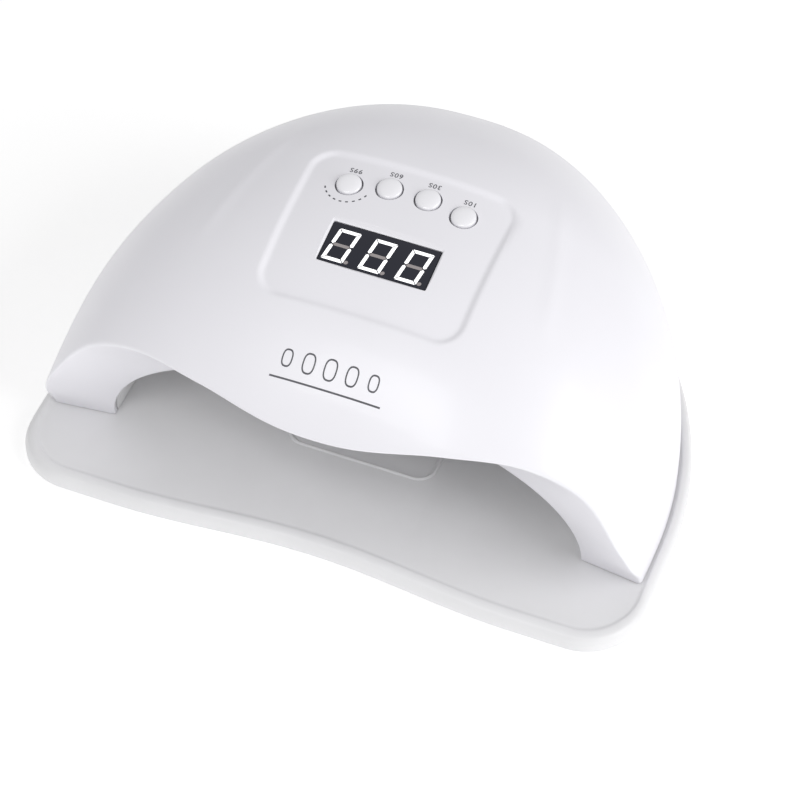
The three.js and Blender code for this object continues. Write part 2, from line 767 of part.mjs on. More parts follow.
function addControls() {
  piece(panel, "control_board", controlBoard(), circuit());
  const lens = new THREE.BoxGeometry(WINDOW.x, WINDOW.y, WINDOW.t);
  piece(panel, "display_window", lens, smoked())
    .position.set(0, WINDOW.v, WINDOW.top - WINDOW.t / 2);
  const moduleBottom = BOARD.top + GAP;
  const moduleTop = WINDOW.top - WINDOW.t - GAP;
  const block = new THREE.BoxGeometry(37.6, 16, moduleTop - moduleBottom);
  piece(panel, "display_module", block, blackPlastic())
    .position.set(0, WINDOW.v, (moduleTop + moduleBottom) / 2);
  BOARD_POSTS.forEach(([x, v], i) => {
    const made = screw(1, 2, 1.2, 6);
    piece(panel, `board_screw_${i + 1}`, made, steel())
      .position.set(x, v, BOARD.top - BOARD.t - GAP - 1.2);
  });
  for (const [name, x, v] of BUTTONS) {
    piece(panel, `button_${name}`, button(panelSurface(x, v)), keyWhite()).position.set(x, v, 0);
    piece(panel, `switch_${name}`, switchCase(), blackPlastic()).position.set(x, v, 0);
    piece(panel, `plunger_${name}`, plunger(), steel()).position.set(x, v, 0);
  }
}

function addBoardParts() {
  const under = BOARD.top - BOARD.t - GAP;
  const chip = new THREE.BoxGeometry(9, 9, 1.6);
  piece(panel, "microcontroller", chip, blackPlastic()).position.set(0, -2, under - 0.8);
  const coil = new THREE.CylinderGeometry(5, 5, 6, 16).rotateX(Math.PI / 2);
  piece(panel, "inductor", coil, blackPlastic()).position.set(18, -12, under - 3);
  const can = new THREE.CylinderGeometry(4, 4, 11, 16).rotateX(Math.PI / 2);
  piece(panel, "capacitor", can, steel()).position.set(-18, -12, under - 5.5);
}

function addLamps() {
  for (const board of LED_BOARDS) {
    piece(head, `led_board_${board.name}`, ledBoard(board), whiteBoard()).applyMatrix4(board.frame);
  }
  for (const [side, angle] of SENSORS) {
    const made = piece(head, `hand_sensor_${side}`, sensor(), blackPlastic());
    made.applyMatrix4(ledFrame(angle, SENSOR_Y, "y"));
  }
}

function addWiring() {
  piece(head, "dc_jack", dcJack(), blackPlastic());
  const power = [[0, 71.2, 21], [0, 67.8, 31], [6, 60, 52], [14, 34, 68], [16, 8, 77], [16, -8, 81.5]];
  piece(head, "power_lead", lead(power, 1.4), insulation());
  const rightLead = [[24, -14, 82], [34, -10, 76], [47, -8, 68], [58, -8, 60], [64, -8, 56]];
  const mirrored = rightLead.map(([x, y, z]) => [-x, y, z]);
  piece(head, "led_lead_right", lead(rightLead, 1.1), insulation());
  piece(head, "led_lead_left", lead(mirrored, 1.1), insulation());
}

addTray();
addShells();
addControls();
addBoardParts();
addLamps();
addWiring();

export default root;
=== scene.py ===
"""The finished look of a desktop UV LED nail lamp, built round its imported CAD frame.

Lengths in this file are millimetres until a mesh is made, which is in metres. +X is the user's
right, -Y the open front and +Z up, with the origin on the table under the middle of the lamp.
"""

import json
import math

import bmesh
import bpy
import numpy as np
from mathutils import Matrix, Vector


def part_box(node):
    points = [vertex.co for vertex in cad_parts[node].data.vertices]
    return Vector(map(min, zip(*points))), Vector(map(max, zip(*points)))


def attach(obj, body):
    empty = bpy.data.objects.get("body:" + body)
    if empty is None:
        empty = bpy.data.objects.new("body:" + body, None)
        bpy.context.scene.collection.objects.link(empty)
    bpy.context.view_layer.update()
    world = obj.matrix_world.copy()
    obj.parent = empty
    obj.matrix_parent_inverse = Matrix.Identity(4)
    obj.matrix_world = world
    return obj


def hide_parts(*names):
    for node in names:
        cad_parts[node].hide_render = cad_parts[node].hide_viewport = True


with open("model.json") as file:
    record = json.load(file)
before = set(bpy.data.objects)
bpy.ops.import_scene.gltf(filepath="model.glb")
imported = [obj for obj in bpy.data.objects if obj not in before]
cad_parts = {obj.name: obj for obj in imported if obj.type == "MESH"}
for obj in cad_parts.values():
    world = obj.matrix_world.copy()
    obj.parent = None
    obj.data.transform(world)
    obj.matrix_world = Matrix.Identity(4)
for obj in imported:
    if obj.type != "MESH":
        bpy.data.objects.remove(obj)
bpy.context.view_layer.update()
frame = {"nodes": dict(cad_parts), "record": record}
MM = 0.001

# -------- driving dimensions
GAP = 0.3  # clearance between separate pieces
SHELL_Z = 7.0  # lower edge of the lamp head

# Outer dome: each cross-section at y is half a superellipse.
HALF_WIDTH, HEIGHT, SECTION = 112.4, 92.9, 2.44
WIDEST_Y, CREST_Y, REAR_Y = -46.2, 7.6, 89.6
PLAN_POWER, PLAN_ROOT = 2.09, 1.75
REAR_POWER, REAR_ROOT = 1.73, 2.59
FRONT_TAPER, FRONT_DROP, FRONT_POWER = 0.1, 0.437, 2.9
WALL = 2.6
# The front edge of the dome: angle up the cross-section in degrees, and y.
FRONT_EDGE = ((0, -63), (8, -70.5), (18, -74.3), (40, -72.6), (55, -75.8), (71, -82.6), (90, -89))
EDGE_ROUND = 1.5
MOUTH_ROUND = 0.9
FOOT_ROUND = 0.5

# Faint raised crease down each shoulder of the dome
CREASE_REAR, CREASE_FRONT = (46.0, 30.0), (64.0, -44.0)
CREASE_BOW, CREASE_HEIGHT, CREASE_WIDTH = 2.2, 0.5, 2.3

# Hand cavity: an arch of constant section that closes in a round rear. Its mouth leans
# forward from the feet to the crown.
CAVITY_HALF, CAVITY_HEIGHT, CAVITY_SECTION = 89.0, 52.0, 2.0
MOUTH_FOOT_Y, MOUTH_LEAN = -60.2, 2.0
TAPER_Y, CAVITY_REAR = -8.0, 66.0
CAVITY_PLAN_POWER, CAVITY_PLAN_ROOT, CAVITY_RISE_ROOT = 2.6, 1.6, 2.0
BAND = 2.2
LINER = 1.8
FLANGE_Z, FLANGE = 8.2, 2.0
POST_R, POST_FOOT = 3.5, 12.9  # screw posts of the housing, and z of their lower ends
CUP_R, CUP_TOP = 6.6, 12.3  # magnet cups on the flange
POCKET_TOP = 11  # z of the top of a magnet's pocket
BOSS_R, BOSS_TOP, SCREW_SEAT = 4.3, 12.5, 10.2  # screw bosses, and z where the heads bear

# Base tray
FLOOR_Z, TRAY_SKIN, TRAY_MARGIN, TRAY_WALL = 6.6, 2.3, 4.8, 3.2
FRONT_Y, FRONT_WAVE, WAVE_X = -91.9, 2.5, 75.0
CORNER_X, CORNER_Y, CORNER_R = 95.0, -72.4, 22.0
# Distance in from the outline, and z, from the foot of the wall to the floor
RIM_PROFILE = ((1.0, 0.6), (0.25, 1.0), (0.0, 1.9), (0.05, 4.0), (0.45, 5.5), (1.3, 6.8), (2.4, 7.35),
               (3.4, 7.3), (4.1, 6.85), (4.8, FLOOR_Z))
RIM_FRONT_STRETCH = 0.34  # the rim is broader where no dome stands over it
STRETCH_Y, STRETCH_RUN = -70, 15  # where the rim starts to broaden, and over what length
RECESS_HALF, RECESS_FRONT, RECESS_REAR, RECESS_DEPTH, RECESS_CORNER = 27.4, -47.1, 30.0, 1.3, 6.0
# Low bead round the recess, and the recess's own side: distance out or in, and z from the floor
RECESS_LIP = ((1.35, -0.4), (1.3, 0.0), (1.15, 0.3), (0.85, 0.52), (0.3, 0.6))
RECESS_SIDE = ((1.6, -RECESS_DEPTH), (1.1, -RECESS_DEPTH + 0.06), (0.5, -0.45), (0.15, -0.12),
               (-0.1, 0.3), (-0.5, 0.6), (-2, 6))
FOOT_BOSS_R, KEEPER_BOSS_R, KEEPER_POCKET_TOP = 8, 6.8, 5.3

# Control panel
PANEL_X, PANEL_Y, PANEL_Z, PANEL_TILT, PANEL_SINK = 1.0, -18.0, 97.9, math.radians(9), 1.2
PANEL_HALF_TOP, PANEL_HALF_BOTTOM, PANEL_TOP, PANEL_BOTTOM, PANEL_CORNER = 38.8, 37.6, 10.5, -54.0, 9.5
PANEL_BEVEL = 2.6
WINDOW_X, WINDOW_Y, WINDOW_V, WINDOW_TOP, WINDOW_THICK = 39.2, 16.4, -11.1, -0.9, 1.0
WINDOW_FLARE, FLARE_TOP = 1.6, 1.8  # the opening's bevel, and how much wider it is at the top
BUTTON_R, BUTTON_PROUD = 4.7, 1.3
CAP_TRIM = 0.3  # how much smaller the visible cap is than its CAD piece
BUTTONS = (("99s", -21.2, 14.0), ("60s", -7.2, 16.6), ("30s", 7.0, 16.6), ("10s", 21.0, 14.0))
BOARD_TOP = -12.6

# Lamp beads, in rows along the arch and two short rows at the rear
BEAD_R, BEAD_HOLE, BEAD_PITCH, BEAD_STAND = 2.7, 3.2, 12.0, 3.0
LED_ROWS = (("right", 22), ("upper_right", 54), ("top", 90), ("upper_left", 126), ("left", 158))
LED_REAR = (("rear_right", 52), ("rear_left", 128))
LED_ROW_Y, LED_REAR_Y, LED_ROW_COUNT, LED_REAR_COUNT = -18.0, 43.0, 6, 3
LED_WIDTH, LED_THICK = 12.0, 1.2
CUP_END = ((0, -1.2), (1.5, -1.2), (1.7, -1.0))  # radius and z of a bead's lower face
LENS_R, LENS_FOOT, LENS_SEAT, LENS_PROUD = 2.35, -1.15, -1.05, 1.05
DIE_HALF, DIE_LOW, DIE_TOP = 0.75, -1.35, -1.15
SENSORS = (("left", 96), ("right", 84))
SENSOR_Y, SENSOR_R = -54.5, 2.5

FOOT_R, FOOT_H = 6.0, 2.2
MAGNET_R = 5.0
SCREW_R, SCREW_HEAD_R, SCREW_HEAD_H = 1.45, 2.8, 1.6
SCREW_LENGTH, SCREW_PITCH, SCREW_Z = 10, 0.8, 8.3
JACK_Y, JACK_Z, JACK_R, JACK_DEPTH = 73.0, 20.0, 3.9, 11.0
JACK_HALF_X, JACK_HALF_Z, JACK_BORE, PIN_R, PIN_TIP_R = 5, 5.5, 2.8, 0.9, 0.5
VENTS_Z, VENT_WIDTH, VENT_HEIGHT, VENT_REACH = (36.0, 40.0, 44.0), 18.0, 1.8, 15


# -------- surfaces
def smooth(t):
    t = np.clip(t, 0, 1)
    return t * t * (3 - 2 * t)


def smooth_curve(p0, slope0, p1, slope1, t):
    """The point at share t of a smooth curve from p0 to p1, with the slopes given at its ends."""
    start = p0 * (1 + 2 * t) * (1 - t) ** 2 + slope0 * t * (1 - t) ** 2
    return start + p1 * t * t * (3 - 2 * t) + slope1 * t * t * (t - 1)


def dome_width(y):
    u = np.clip((y - WIDEST_Y) / (REAR_Y - WIDEST_Y), 0, 1)
    rear = (1 - u**PLAN_POWER) ** (1 / PLAN_ROOT)
    front = 1 - FRONT_TAPER * (np.maximum(WIDEST_Y - y, 0) / 100) ** 2
    return HALF_WIDTH * np.where(y > WIDEST_Y, rear, front)


def dome_height(y):
    v = np.clip((y - CREST_Y) / (REAR_Y - CREST_Y), 0, 1)
    rear = (1 - v**REAR_POWER) ** (1 / REAR_ROOT)
    front = 1 - FRONT_DROP * (np.maximum(CREST_Y - y, 0) / 100) ** FRONT_POWER
    return HEIGHT * np.where(y > CREST_Y, rear, front)


def arch(a, y, half_width, height, power):
    """A point of a cross-section: angle a runs from the right foot (0) to the left foot (pi)."""
    a, y = np.broadcast_arrays(np.asarray(a, float), np.asarray(y, float))
    c, s = np.cos(a), np.maximum(np.sin(a), 0)
    x = np.sign(c) * half_width * np.abs(c) ** (2 / power)
    return np.stack([x, y, SHELL_Z + height * s ** (2 / power)], -1)


def dome_point(a, y, inset=0.0):
    squeeze = (REAR_Y - WIDEST_Y) / (REAR_Y - inset - WIDEST_Y)
    outer = np.where(y > WIDEST_Y, WIDEST_Y + (y - WIDEST_Y) * squeeze, y)
    width = dome_width(outer) * (1 - inset / HALF_WIDTH)
    return arch(a, y, width, dome_height(outer) * (1 - inset / HEIGHT), SECTION)


def cavity_point(a, y, outset=0.0):
    stretch = (CAVITY_REAR - TAPER_Y) / (CAVITY_REAR + outset - TAPER_Y)
    u = np.clip((y - TAPER_Y) * stretch / (CAVITY_REAR - TAPER_Y), 0, 1)
    shrink = 1 - u**CAVITY_PLAN_POWER
    width = (CAVITY_HALF + outset) * shrink ** (1 / CAVITY_PLAN_ROOT)
    height = (CAVITY_HEIGHT + outset) * shrink ** (1 / CAVITY_RISE_ROOT)
    return arch(a, y, width, height, CAVITY_SECTION)


def dome_z(x, y):
    share = np.clip(np.abs(x) / dome_width(y), 0, 1)
    return SHELL_Z + dome_height(y) * (1 - share**SECTION) ** (1 / SECTION)


def front_edge_y(a):
    """The y of the dome's front edge: a smooth curve through FRONT_EDGE, the same on both sides."""
    angle = np.degrees(np.minimum(a, np.pi - np.asarray(a)))
    xs, ys = np.array(FRONT_EDGE, float).T
    slopes = np.gradient(ys, xs)
    slopes[-1] = 0
    i = np.clip(np.searchsorted(xs, angle) - 1, 0, len(xs) - 2)
    h = xs[i + 1] - xs[i]
    t = (angle - xs[i]) / h
    return smooth_curve(ys[i], h * slopes[i], ys[i + 1], h * slopes[i + 1], t)


def mouth_y(a):
    return MOUTH_FOOT_Y - MOUTH_LEAN * np.sqrt(np.maximum(np.sin(a), 0))


def mouth_point(a):
    return arch(a, mouth_y(a), CAVITY_HALF, CAVITY_HEIGHT, CAVITY_SECTION)


def unit(v):
    return v / np.linalg.norm(v, axis=-1, keepdims=True)


def band_normal(a):
    """Square to the return band, away from the front and the cavity."""
    b = np.clip(a, 0.01, np.pi - 0.01)
    along = mouth_point(b + 0.01) - mouth_point(b - 0.01)
    across = dome_point(b, front_edge_y(b)) - mouth_point(b)
    return unit(np.cross(along, across))


def panel_axes():
    """The panel's frame: origin, and the directions right, up the panel, and out of it."""
    c, s = math.cos(PANEL_TILT), math.sin(PANEL_TILT)
    origin = np.array([PANEL_X, PANEL_Y, PANEL_Z])
    return origin, np.array([1, 0, 0]), np.array([0, c, s]), np.array([0, -s, c])


def on_panel(x, v, n=0.0):
    origin, right, up, out = panel_axes()
    x, v, n = (np.asarray(k, float)[..., None] for k in (x, v, n))
    return origin + x * right + v * up + n * out


def panel_surface(x, v):
    """Height of the sunk panel surface above the panel plane at panel position x, v."""
    y = PANEL_Y + v * math.cos(PANEL_TILT)
    rise = dome_z(PANEL_X + x, y) - PANEL_SINK - PANEL_Z - v * math.sin(PANEL_TILT)
    return rise * math.cos(PANEL_TILT)


# -------- mesh helpers
def new_object(name, mesh):
    o = bpy.data.objects.new(name, mesh)
    bpy.context.scene.collection.objects.link(o)
    return o


def mesh_object(name, points, faces, merge=0.0, matrix=None):
    """An object from points in millimetres. Points closer than merge become one."""
    mesh = bpy.data.meshes.new(name)
    places = [tuple(p) for p in np.asarray(points, float) * MM]
    mesh.from_pydata(places, [], [list(map(int, f)) for f in faces])
    if merge:
        b = bmesh.new()
        b.from_mesh(mesh)
        bmesh.ops.remove_doubles(b, verts=b.verts, dist=merge * MM)
        bmesh.ops.dissolve_degenerate(b, edges=b.edges, dist=merge * MM)
        bmesh.ops.recalc_face_normals(b, faces=b.faces)
        b.to_mesh(mesh)
        b.free()
    if matrix is not None:
        mesh.transform(matrix)
    return new_object(name, mesh)


def grid_faces(rows, columns, start=0, wrap=False):
    """Quads between the points of a grid that is stored row by row."""
    r, c = np.meshgrid(np.arange(rows - 1), np.arange(columns if wrap else columns - 1), indexing="ij")
    r, c = r.ravel(), c.ravel()
    d = (c + 1) % columns
    a = start + r * columns
    return np.stack([a + c, a + d, a + columns + d, a + columns + c], -1).tolist()


def finish_mesh(o, sharp_degrees=35):
    o.data.shade_smooth()
    o.data.set_sharp_from_angle(angle=math.radians(sharp_degrees))
    return o


def boolean(o, tool, operation="DIFFERENCE", self_overlap=False):
    """Cuts or joins o with tool, and removes the tool."""
    m = o.modifiers.new("cut", "BOOLEAN")
    m.operation, m.solver, m.object, m.use_self = operation, "EXACT", tool, self_overlap
    made = bpy.data.meshes.new_from_object(o.evaluated_get(bpy.context.evaluated_depsgraph_get()))
    o.modifiers.clear()
    o.data = made
    bpy.data.objects.remove(tool)
    return o


def joined(name, objects):
    """One object from several, in the order given."""
    b = bmesh.new()
    for o in objects:
        b.from_mesh(o.data)
    mesh = bpy.data.meshes.new(name)
    b.to_mesh(mesh)
    b.free()
    for o in objects:
        bpy.data.objects.remove(o)
    return new_object(name, mesh)


def frame_matrix(origin, x, y, z):
    """A placing matrix, in metres, from an origin in millimetres and three unit axes."""
    m = Matrix.Identity(4)
    for i, column in enumerate((x, y, z, np.asarray(origin) * MM)):
        for j in range(3):
            m[j][i] = float(column[j])
    return m


def at(x, y, z=0.0):
    return Matrix.Translation(Vector((x, y, z)) * MM)


def facing_rear(z):
    """A matrix whose local +Z runs rearward from the middle plane at height z."""
    return at(0, 0, z) @ Matrix.Rotation(-math.pi / 2, 4, "X")


def panel_matrix(x, v, n=0.0):
    _, right, up, out = panel_axes()
    return frame_matrix(on_panel(x, v, n), right, up, out)


def lathe(name, profile, matrix=None, sides=48):
    """A turned piece about local +Z, from [radius, z] points that start and end on the axis."""
    profile = np.asarray(profile, float)
    t = np.arange(sides) * 2 * np.pi / sides
    ring = np.stack([np.cos(t), np.sin(t)], -1)
    rows = [np.column_stack([ring * r, np.full(sides, z)]) for r, z in profile[1:-1]]
    points = np.concatenate([[[0, 0, profile[0][1]]], *rows, [[0, 0, profile[-1][1]]]])
    count = len(rows)
    faces = grid_faces(count, sides, start=1, wrap=True)
    last = 1 + (count - 1) * sides
    end = len(points) - 1
    for i in range(sides):
        j = (i + 1) % sides
        faces.append([0, 1 + j, 1 + i])
        faces.append([last + i, last + j, end])
    return mesh_object(name, points, faces, 1e-4, matrix)


def rod(name, r, z0, z1, matrix=None, sides=48, chamfer=0.0):
    c = chamfer
    return lathe(name, [[0, z0], [r - c, z0], [r, z0 + c], [r, z1 - c], [r - c, z1], [0, z1]], matrix, sides)


def rounded_block(name, half_x, half_y, z0, z1, corner, edge, matrix=None, steps=8):
    """A box with rounded vertical corners and small rounded top and bottom edges."""
    levels = [(edge, z0), (0.3 * edge, z0 + 0.3 * edge), (0, z0 + edge)]
    levels += [(0, z1 - edge), (0.3 * edge, z1 - 0.3 * edge), (edge, z1)]
    return lofted(name, [(rounded_outline(half_x - i, half_x - i, -half_y + i, half_y - i,
                                          max(corner - i, 0.05), steps), z) for i, z in levels], matrix)


def rounded_outline(half_top, half_bottom, y0, y1, r, steps=10):
    """A rounded rectangle or trapezium, anticlockwise from the lower right corner."""
    points = []
    corners = ((half_bottom - r, y0 + r, -90), (half_top - r, y1 - r, 0),
               (-half_top + r, y1 - r, 90), (-half_bottom + r, y0 + r, 180))
    for x, y, start in corners:
        for t in np.radians(start + np.linspace(0, 90, steps)):
            points.append((x + r * math.cos(t), y + r * math.sin(t)))
    return np.array(points)


def lofted(name, rings, matrix=None):
    """A closed solid through level rings [(outline, z)], which all have the same number of points."""
    count = len(rings[0][0])
    points = np.concatenate([np.column_stack([outline, np.full(count, z)]) for outline, z in rings])
    faces = grid_faces(len(rings), count, wrap=True)
    faces.append(list(range(count))[::-1])
    faces.append([(len(rings) - 1) * count + i for i in range(count)])
    return mesh_object(name, points, faces, 1e-4, matrix)


def even_steps(points, spacing):
    """Places along a finely sampled path, as shares of its samples. The spacing is a length, or
    a function that gives the length wanted at each point."""
    length = np.linalg.norm(np.diff(points, axis=0), axis=1)
    step = spacing((points[1:] + points[:-1]) / 2) if callable(spacing) else spacing
    weight = np.concatenate([[0], np.cumsum(length / step)])
    wanted = np.linspace(0, weight[-1], int(weight[-1]) + 2)
    return np.interp(wanted, weight, np.linspace(0, 1, len(points)))


# -------- upper housing
FINE, COARSE = 0.75, 2.2  # mesh spacing on the panel and elsewhere
PANEL_REACH = 41.0  # half width of the finely meshed strip
INNER_MESH = 4.0  # mesh spacing on the housing's hidden inner face
TINY_HEIGHTS = (0.0, 0.06, 0.16, 0.3, 0.5, 1.1)  # of the rows at the rounded lower edge
CROWN_Z = 60  # the panel and the creases are only on the dome above this


def housing_angles():
    """Section angles for the mesh columns: close together over the panel and at the feet."""
    t = np.linspace(0, np.pi / 2, 6001)
    section = arch(t, 0.0, HALF_WIDTH, HEIGHT, SECTION)
    foot_angle = math.asin((TINY_HEIGHTS[-1] / HEIGHT) ** (SECTION / 2))
    above = t > foot_angle
    shares = even_steps(section[above], lambda p: np.where(p[:, 0] < PANEL_REACH, FINE, COARSE))
    upper = np.interp(shares, np.linspace(0, 1, above.sum()), t[above])
    low = [math.asin((h / HEIGHT) ** (SECTION / 2)) for h in TINY_HEIGHTS]
    half = np.concatenate([low, upper[1:]])
    return np.concatenate([half, np.pi - half[-2::-1]])


def row_shares(point, rear, front, spacing):
    """Shares of the way from the rear pole to the front, even along the crown of a shell."""
    t = np.linspace(0, 1, 6001) ** 3
    crown = point(np.pi / 2, rear + (front - rear) * t)
    picked = even_steps(crown, spacing)
    return np.interp(picked, np.linspace(0, 1, len(t)), t)


def panel_depth(x, y):
    """How far the outer surface is sunk: the full depth inside the panel, with a soft bevel."""
    share = (y - PANEL_BOTTOM) / (PANEL_TOP - PANEL_BOTTOM)
    half = PANEL_HALF_BOTTOM + (PANEL_HALF_TOP - PANEL_HALF_BOTTOM) * share
    qx = np.abs(x - PANEL_X) - half + PANEL_CORNER
    qy = np.abs(y - (PANEL_TOP + PANEL_BOTTOM) / 2) - (PANEL_TOP - PANEL_BOTTOM) / 2 + PANEL_CORNER
    outside = np.hypot(np.maximum(qx, 0), np.maximum(qy, 0)) + np.minimum(np.maximum(qx, qy), 0)
    return PANEL_SINK * smooth((PANEL_CORNER - outside) / PANEL_BEVEL)


def crease_rise(x, y):
    """Height of the faint crease on each shoulder."""
    (x0, y0), (x1, y1) = CREASE_REAR, CREASE_FRONT
    t = (y - y0) / (y1 - y0)
    line = x0 + (x1 - x0) * t + CREASE_BOW * 4 * t * (1 - t)
    fade = smooth(t / 0.3) * smooth((1 - t) / 0.3)
    off = (np.abs(x) - line) / CREASE_WIDTH
    return CREASE_HEIGHT * fade * np.exp(-off * off)


def round_foot(p):
    """Rounds the lower edge of a shell: the lowest points move in, towards the middle."""
    h = np.clip(p[..., 2] - SHELL_Z, 0, FOOT_ROUND)
    inward = FOOT_ROUND - np.sqrt(FOOT_ROUND**2 - (FOOT_ROUND - h) ** 2)
    out = p[..., :2] - np.array([0, -20.0])
    p = p.copy()
    p[..., :2] -= inward[..., None] * unit(out)
    return p


def fillet(corner, before, after, steps=6):
    """Rows of a rounded edge, from before to after, bending round corner."""
    t = np.linspace(0, 1, steps)[1:-1]
    return [before * (1 - k) ** 2 + 2 * corner * k * (1 - k) + after * k * k for k in t]


def outer_row(a, y):
    p = dome_point(a, y)
    _, _, _, out = panel_axes()
    p = p - panel_depth(p[..., 0], p[..., 1])[..., None] * out * (p[..., 2] > CROWN_Z)[..., None]
    p[..., 2] += crease_rise(p[..., 0], p[..., 1]) * (p[..., 2] > CROWN_Z)
    return round_foot(p)


def shell_strip(name, rows):
    """A closed shell from rows that run outer pole, outer surface, rim, inner surface, inner pole."""
    rows = np.array(rows)
    count, columns = rows.shape[:2]
    faces = grid_faces(count, columns)
    faces.append([i * columns for i in range(count)])
    faces.append([i * columns + columns - 1 for i in range(count)][::-1])
    return mesh_object(name, rows.reshape(-1, 3), faces, merge=2e-4)


def housing_rows():
    a = housing_angles()
    front = front_edge_y(a)

    def spacing(p):
        return np.where((p[:, 1] > PANEL_BOTTOM - 4) & (p[:, 1] < PANEL_TOP + 3), FINE, COARSE)

    shares = row_shares(dome_point, REAR_Y, FRONT_EDGE[-1][1], spacing)
    edge = dome_point(a, front)
    mouth = mouth_point(a)
    run = np.linalg.norm(mouth - edge, axis=1, keepdims=True)
    band = (mouth - edge) / run
    last = outer_row(a, front + EDGE_ROUND)
    rows = [outer_row(a, REAR_Y + (front + EDGE_ROUND - REAR_Y) * s) for s in shares[:-1]] + [last]
    first = round_foot(edge + band * EDGE_ROUND)
    rows += fillet(round_foot(edge), last, first)
    band_end = mouth - band * MOUTH_ROUND
    for s in np.linspace(0, 1, 9):
        rows.append(first + (band_end - first) * s)
    back = band_normal(a) * BAND

    def behind(p, share=1.0):
        q = p + back * share
        q[:, 2] = np.maximum(q[:, 2], SHELL_Z)
        q[[0, -1], 2] = SHELL_Z
        return q

    corner_end = behind(mouth, MOUTH_ROUND / BAND)
    rows += fillet(mouth, band_end, corner_end)
    rows += [corner_end, behind(mouth), behind(mouth * 0.5 + edge * 0.5)]
    rear = REAR_Y - WALL
    inner_shares = row_shares(dome_point, rear, FRONT_EDGE[-1][1] + WALL, INNER_MESH)
    rows += [dome_point(a, rear + (front + WALL - rear) * s, WALL) for s in inner_shares[::-1]]
    return rows


def window_cutter():
    hx, hy = WINDOW_X / 2 + GAP, WINDOW_Y / 2 + GAP
    rings = []
    for grow, z in ((0, BOARD_TOP), (0, WINDOW_TOP + 0.05), (0.12, WINDOW_TOP + 0.15),
                    (WINDOW_FLARE, WINDOW_TOP + 1.35), (WINDOW_FLARE + 0.8, WINDOW_TOP + 4)):
        rings.append((rounded_outline(hx + grow, hx + grow, -hy - grow, hy + FLARE_TOP * grow,
                                      0.5 + 0.4 * grow, 6), z))
    return lofted("window_cutter", rings, panel_matrix(0, WINDOW_V))


def button_cutter(x, v):
    r, z = BUTTON_R + GAP, float(panel_surface(x, v))
    profile = [[0, -8], [r, -8], [r, z - 0.12], [r + 0.06, z - 0.03], [r + 0.18, z + 0.1],
               [r + 0.3, 5], [0, 5]]
    return lathe("button_cutter", profile, panel_matrix(x, v), 64)


def jack_cutter():
    r = JACK_R + GAP
    profile = [[0, JACK_Y], [r, JACK_Y], [r, REAR_Y - 1.6], [r + 0.8, REAR_Y - 0.6],
               [r + 0.8, REAR_Y + 5], [0, REAR_Y + 5]]
    return lathe("jack_cutter", profile, facing_rear(JACK_Z))


def vent_cutter(z):
    half = VENT_HEIGHT / 2
    return rounded_block("vent_cutter", VENT_WIDTH / 2, half, REAR_Y - VENT_REACH, REAR_Y + VENT_REACH,
                         half - 0.02, 0.05, facing_rear(z))


def post(x, y, r, z0):
    """A screw post that ends inside the wall of the dome, whose shape its top follows."""
    t = np.arange(20) * 2 * np.pi / 20
    ring = np.stack([x + r * np.cos(t), y + r * np.sin(t)], -1)
    top = dome_z(ring[:, 0], ring[:, 1]) - WALL - 0.2
    points = np.concatenate([np.column_stack([ring, np.full(20, z0)]), np.column_stack([ring, top])])
    faces = grid_faces(2, 20, wrap=True) + [list(range(20))[::-1], list(range(20, 40))]
    return mesh_object("post", points, faces, merge=1e-4)


def make_housing(material):
    shell = shell_strip("housing_shell", housing_rows())
    cutters = [window_cutter(), jack_cutter()]
    cutters += [button_cutter(x, v) for _, x, v in BUTTONS]
    cutters += [vent_cutter(z) for z in VENTS_Z]
    boolean(shell, joined("cutters", cutters))
    finish_mesh(shell, 30)
    shell.data.materials.append(material)
    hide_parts("upper_housing")
    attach(shell, "lamp_head")


def node_middle(name):
    low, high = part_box(name)
    return (low + high) / 2 / MM


def spots(kind, count):
    """Where the numbered pieces of a kind stand in plan."""
    return [node_middle(f"{kind}_{i}")[:2] for i in range(1, count + 1)]


def make_posts(material):
    """Screw posts inside the dome, over each housing screw."""
    posts = [post(x, y, POST_R, POST_FOOT) for x, y in spots("housing_screw", 6)]
    o = finish_mesh(joined("housing_posts", posts))
    o.data.materials.append(material)
    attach(o, "lamp_head")


# -------- inner liner
LINER_COLUMNS, LINER_ROWS = 2.2, 2.4  # mesh spacing round the arch and along it


def liner_angles():
    t = np.linspace(0, np.pi, 6001)
    section = arch(t, 0.0, CAVITY_HALF, CAVITY_HEIGHT, CAVITY_SECTION)
    return np.interp(even_steps(section, LINER_COLUMNS), np.linspace(0, 1, len(t)), t)


def liner_frame(a, y, along):
    """A frame on the liner: origin on its outer face, +Z out of it, +Y along the given direction."""
    a = float(a)
    origin = cavity_point(a, y, LINER)
    lengthwise = unit(cavity_point(a, y + 1.0, LINER) - cavity_point(a, y - 1.0, LINER))
    around = unit(cavity_point(a - 0.02, y, LINER) - cavity_point(a + 0.02, y, LINER))
    normal = unit(np.cross(around, lengthwise))
    main = lengthwise if along == "y" else around
    return frame_matrix(origin, np.cross(main, normal), main, normal)


def led_boards():
    rows = [(name, LED_ROW_COUNT, liner_frame(math.radians(d), LED_ROW_Y, "y")) for name, d in LED_ROWS]
    rear = [(name, LED_REAR_COUNT, liner_frame(math.radians(d), LED_REAR_Y, "x")) for name, d in LED_REAR]
    return rows + rear


def bead_places(count):
    return [at(0, (i - (count - 1) / 2) * BEAD_PITCH) for i in range(count)]


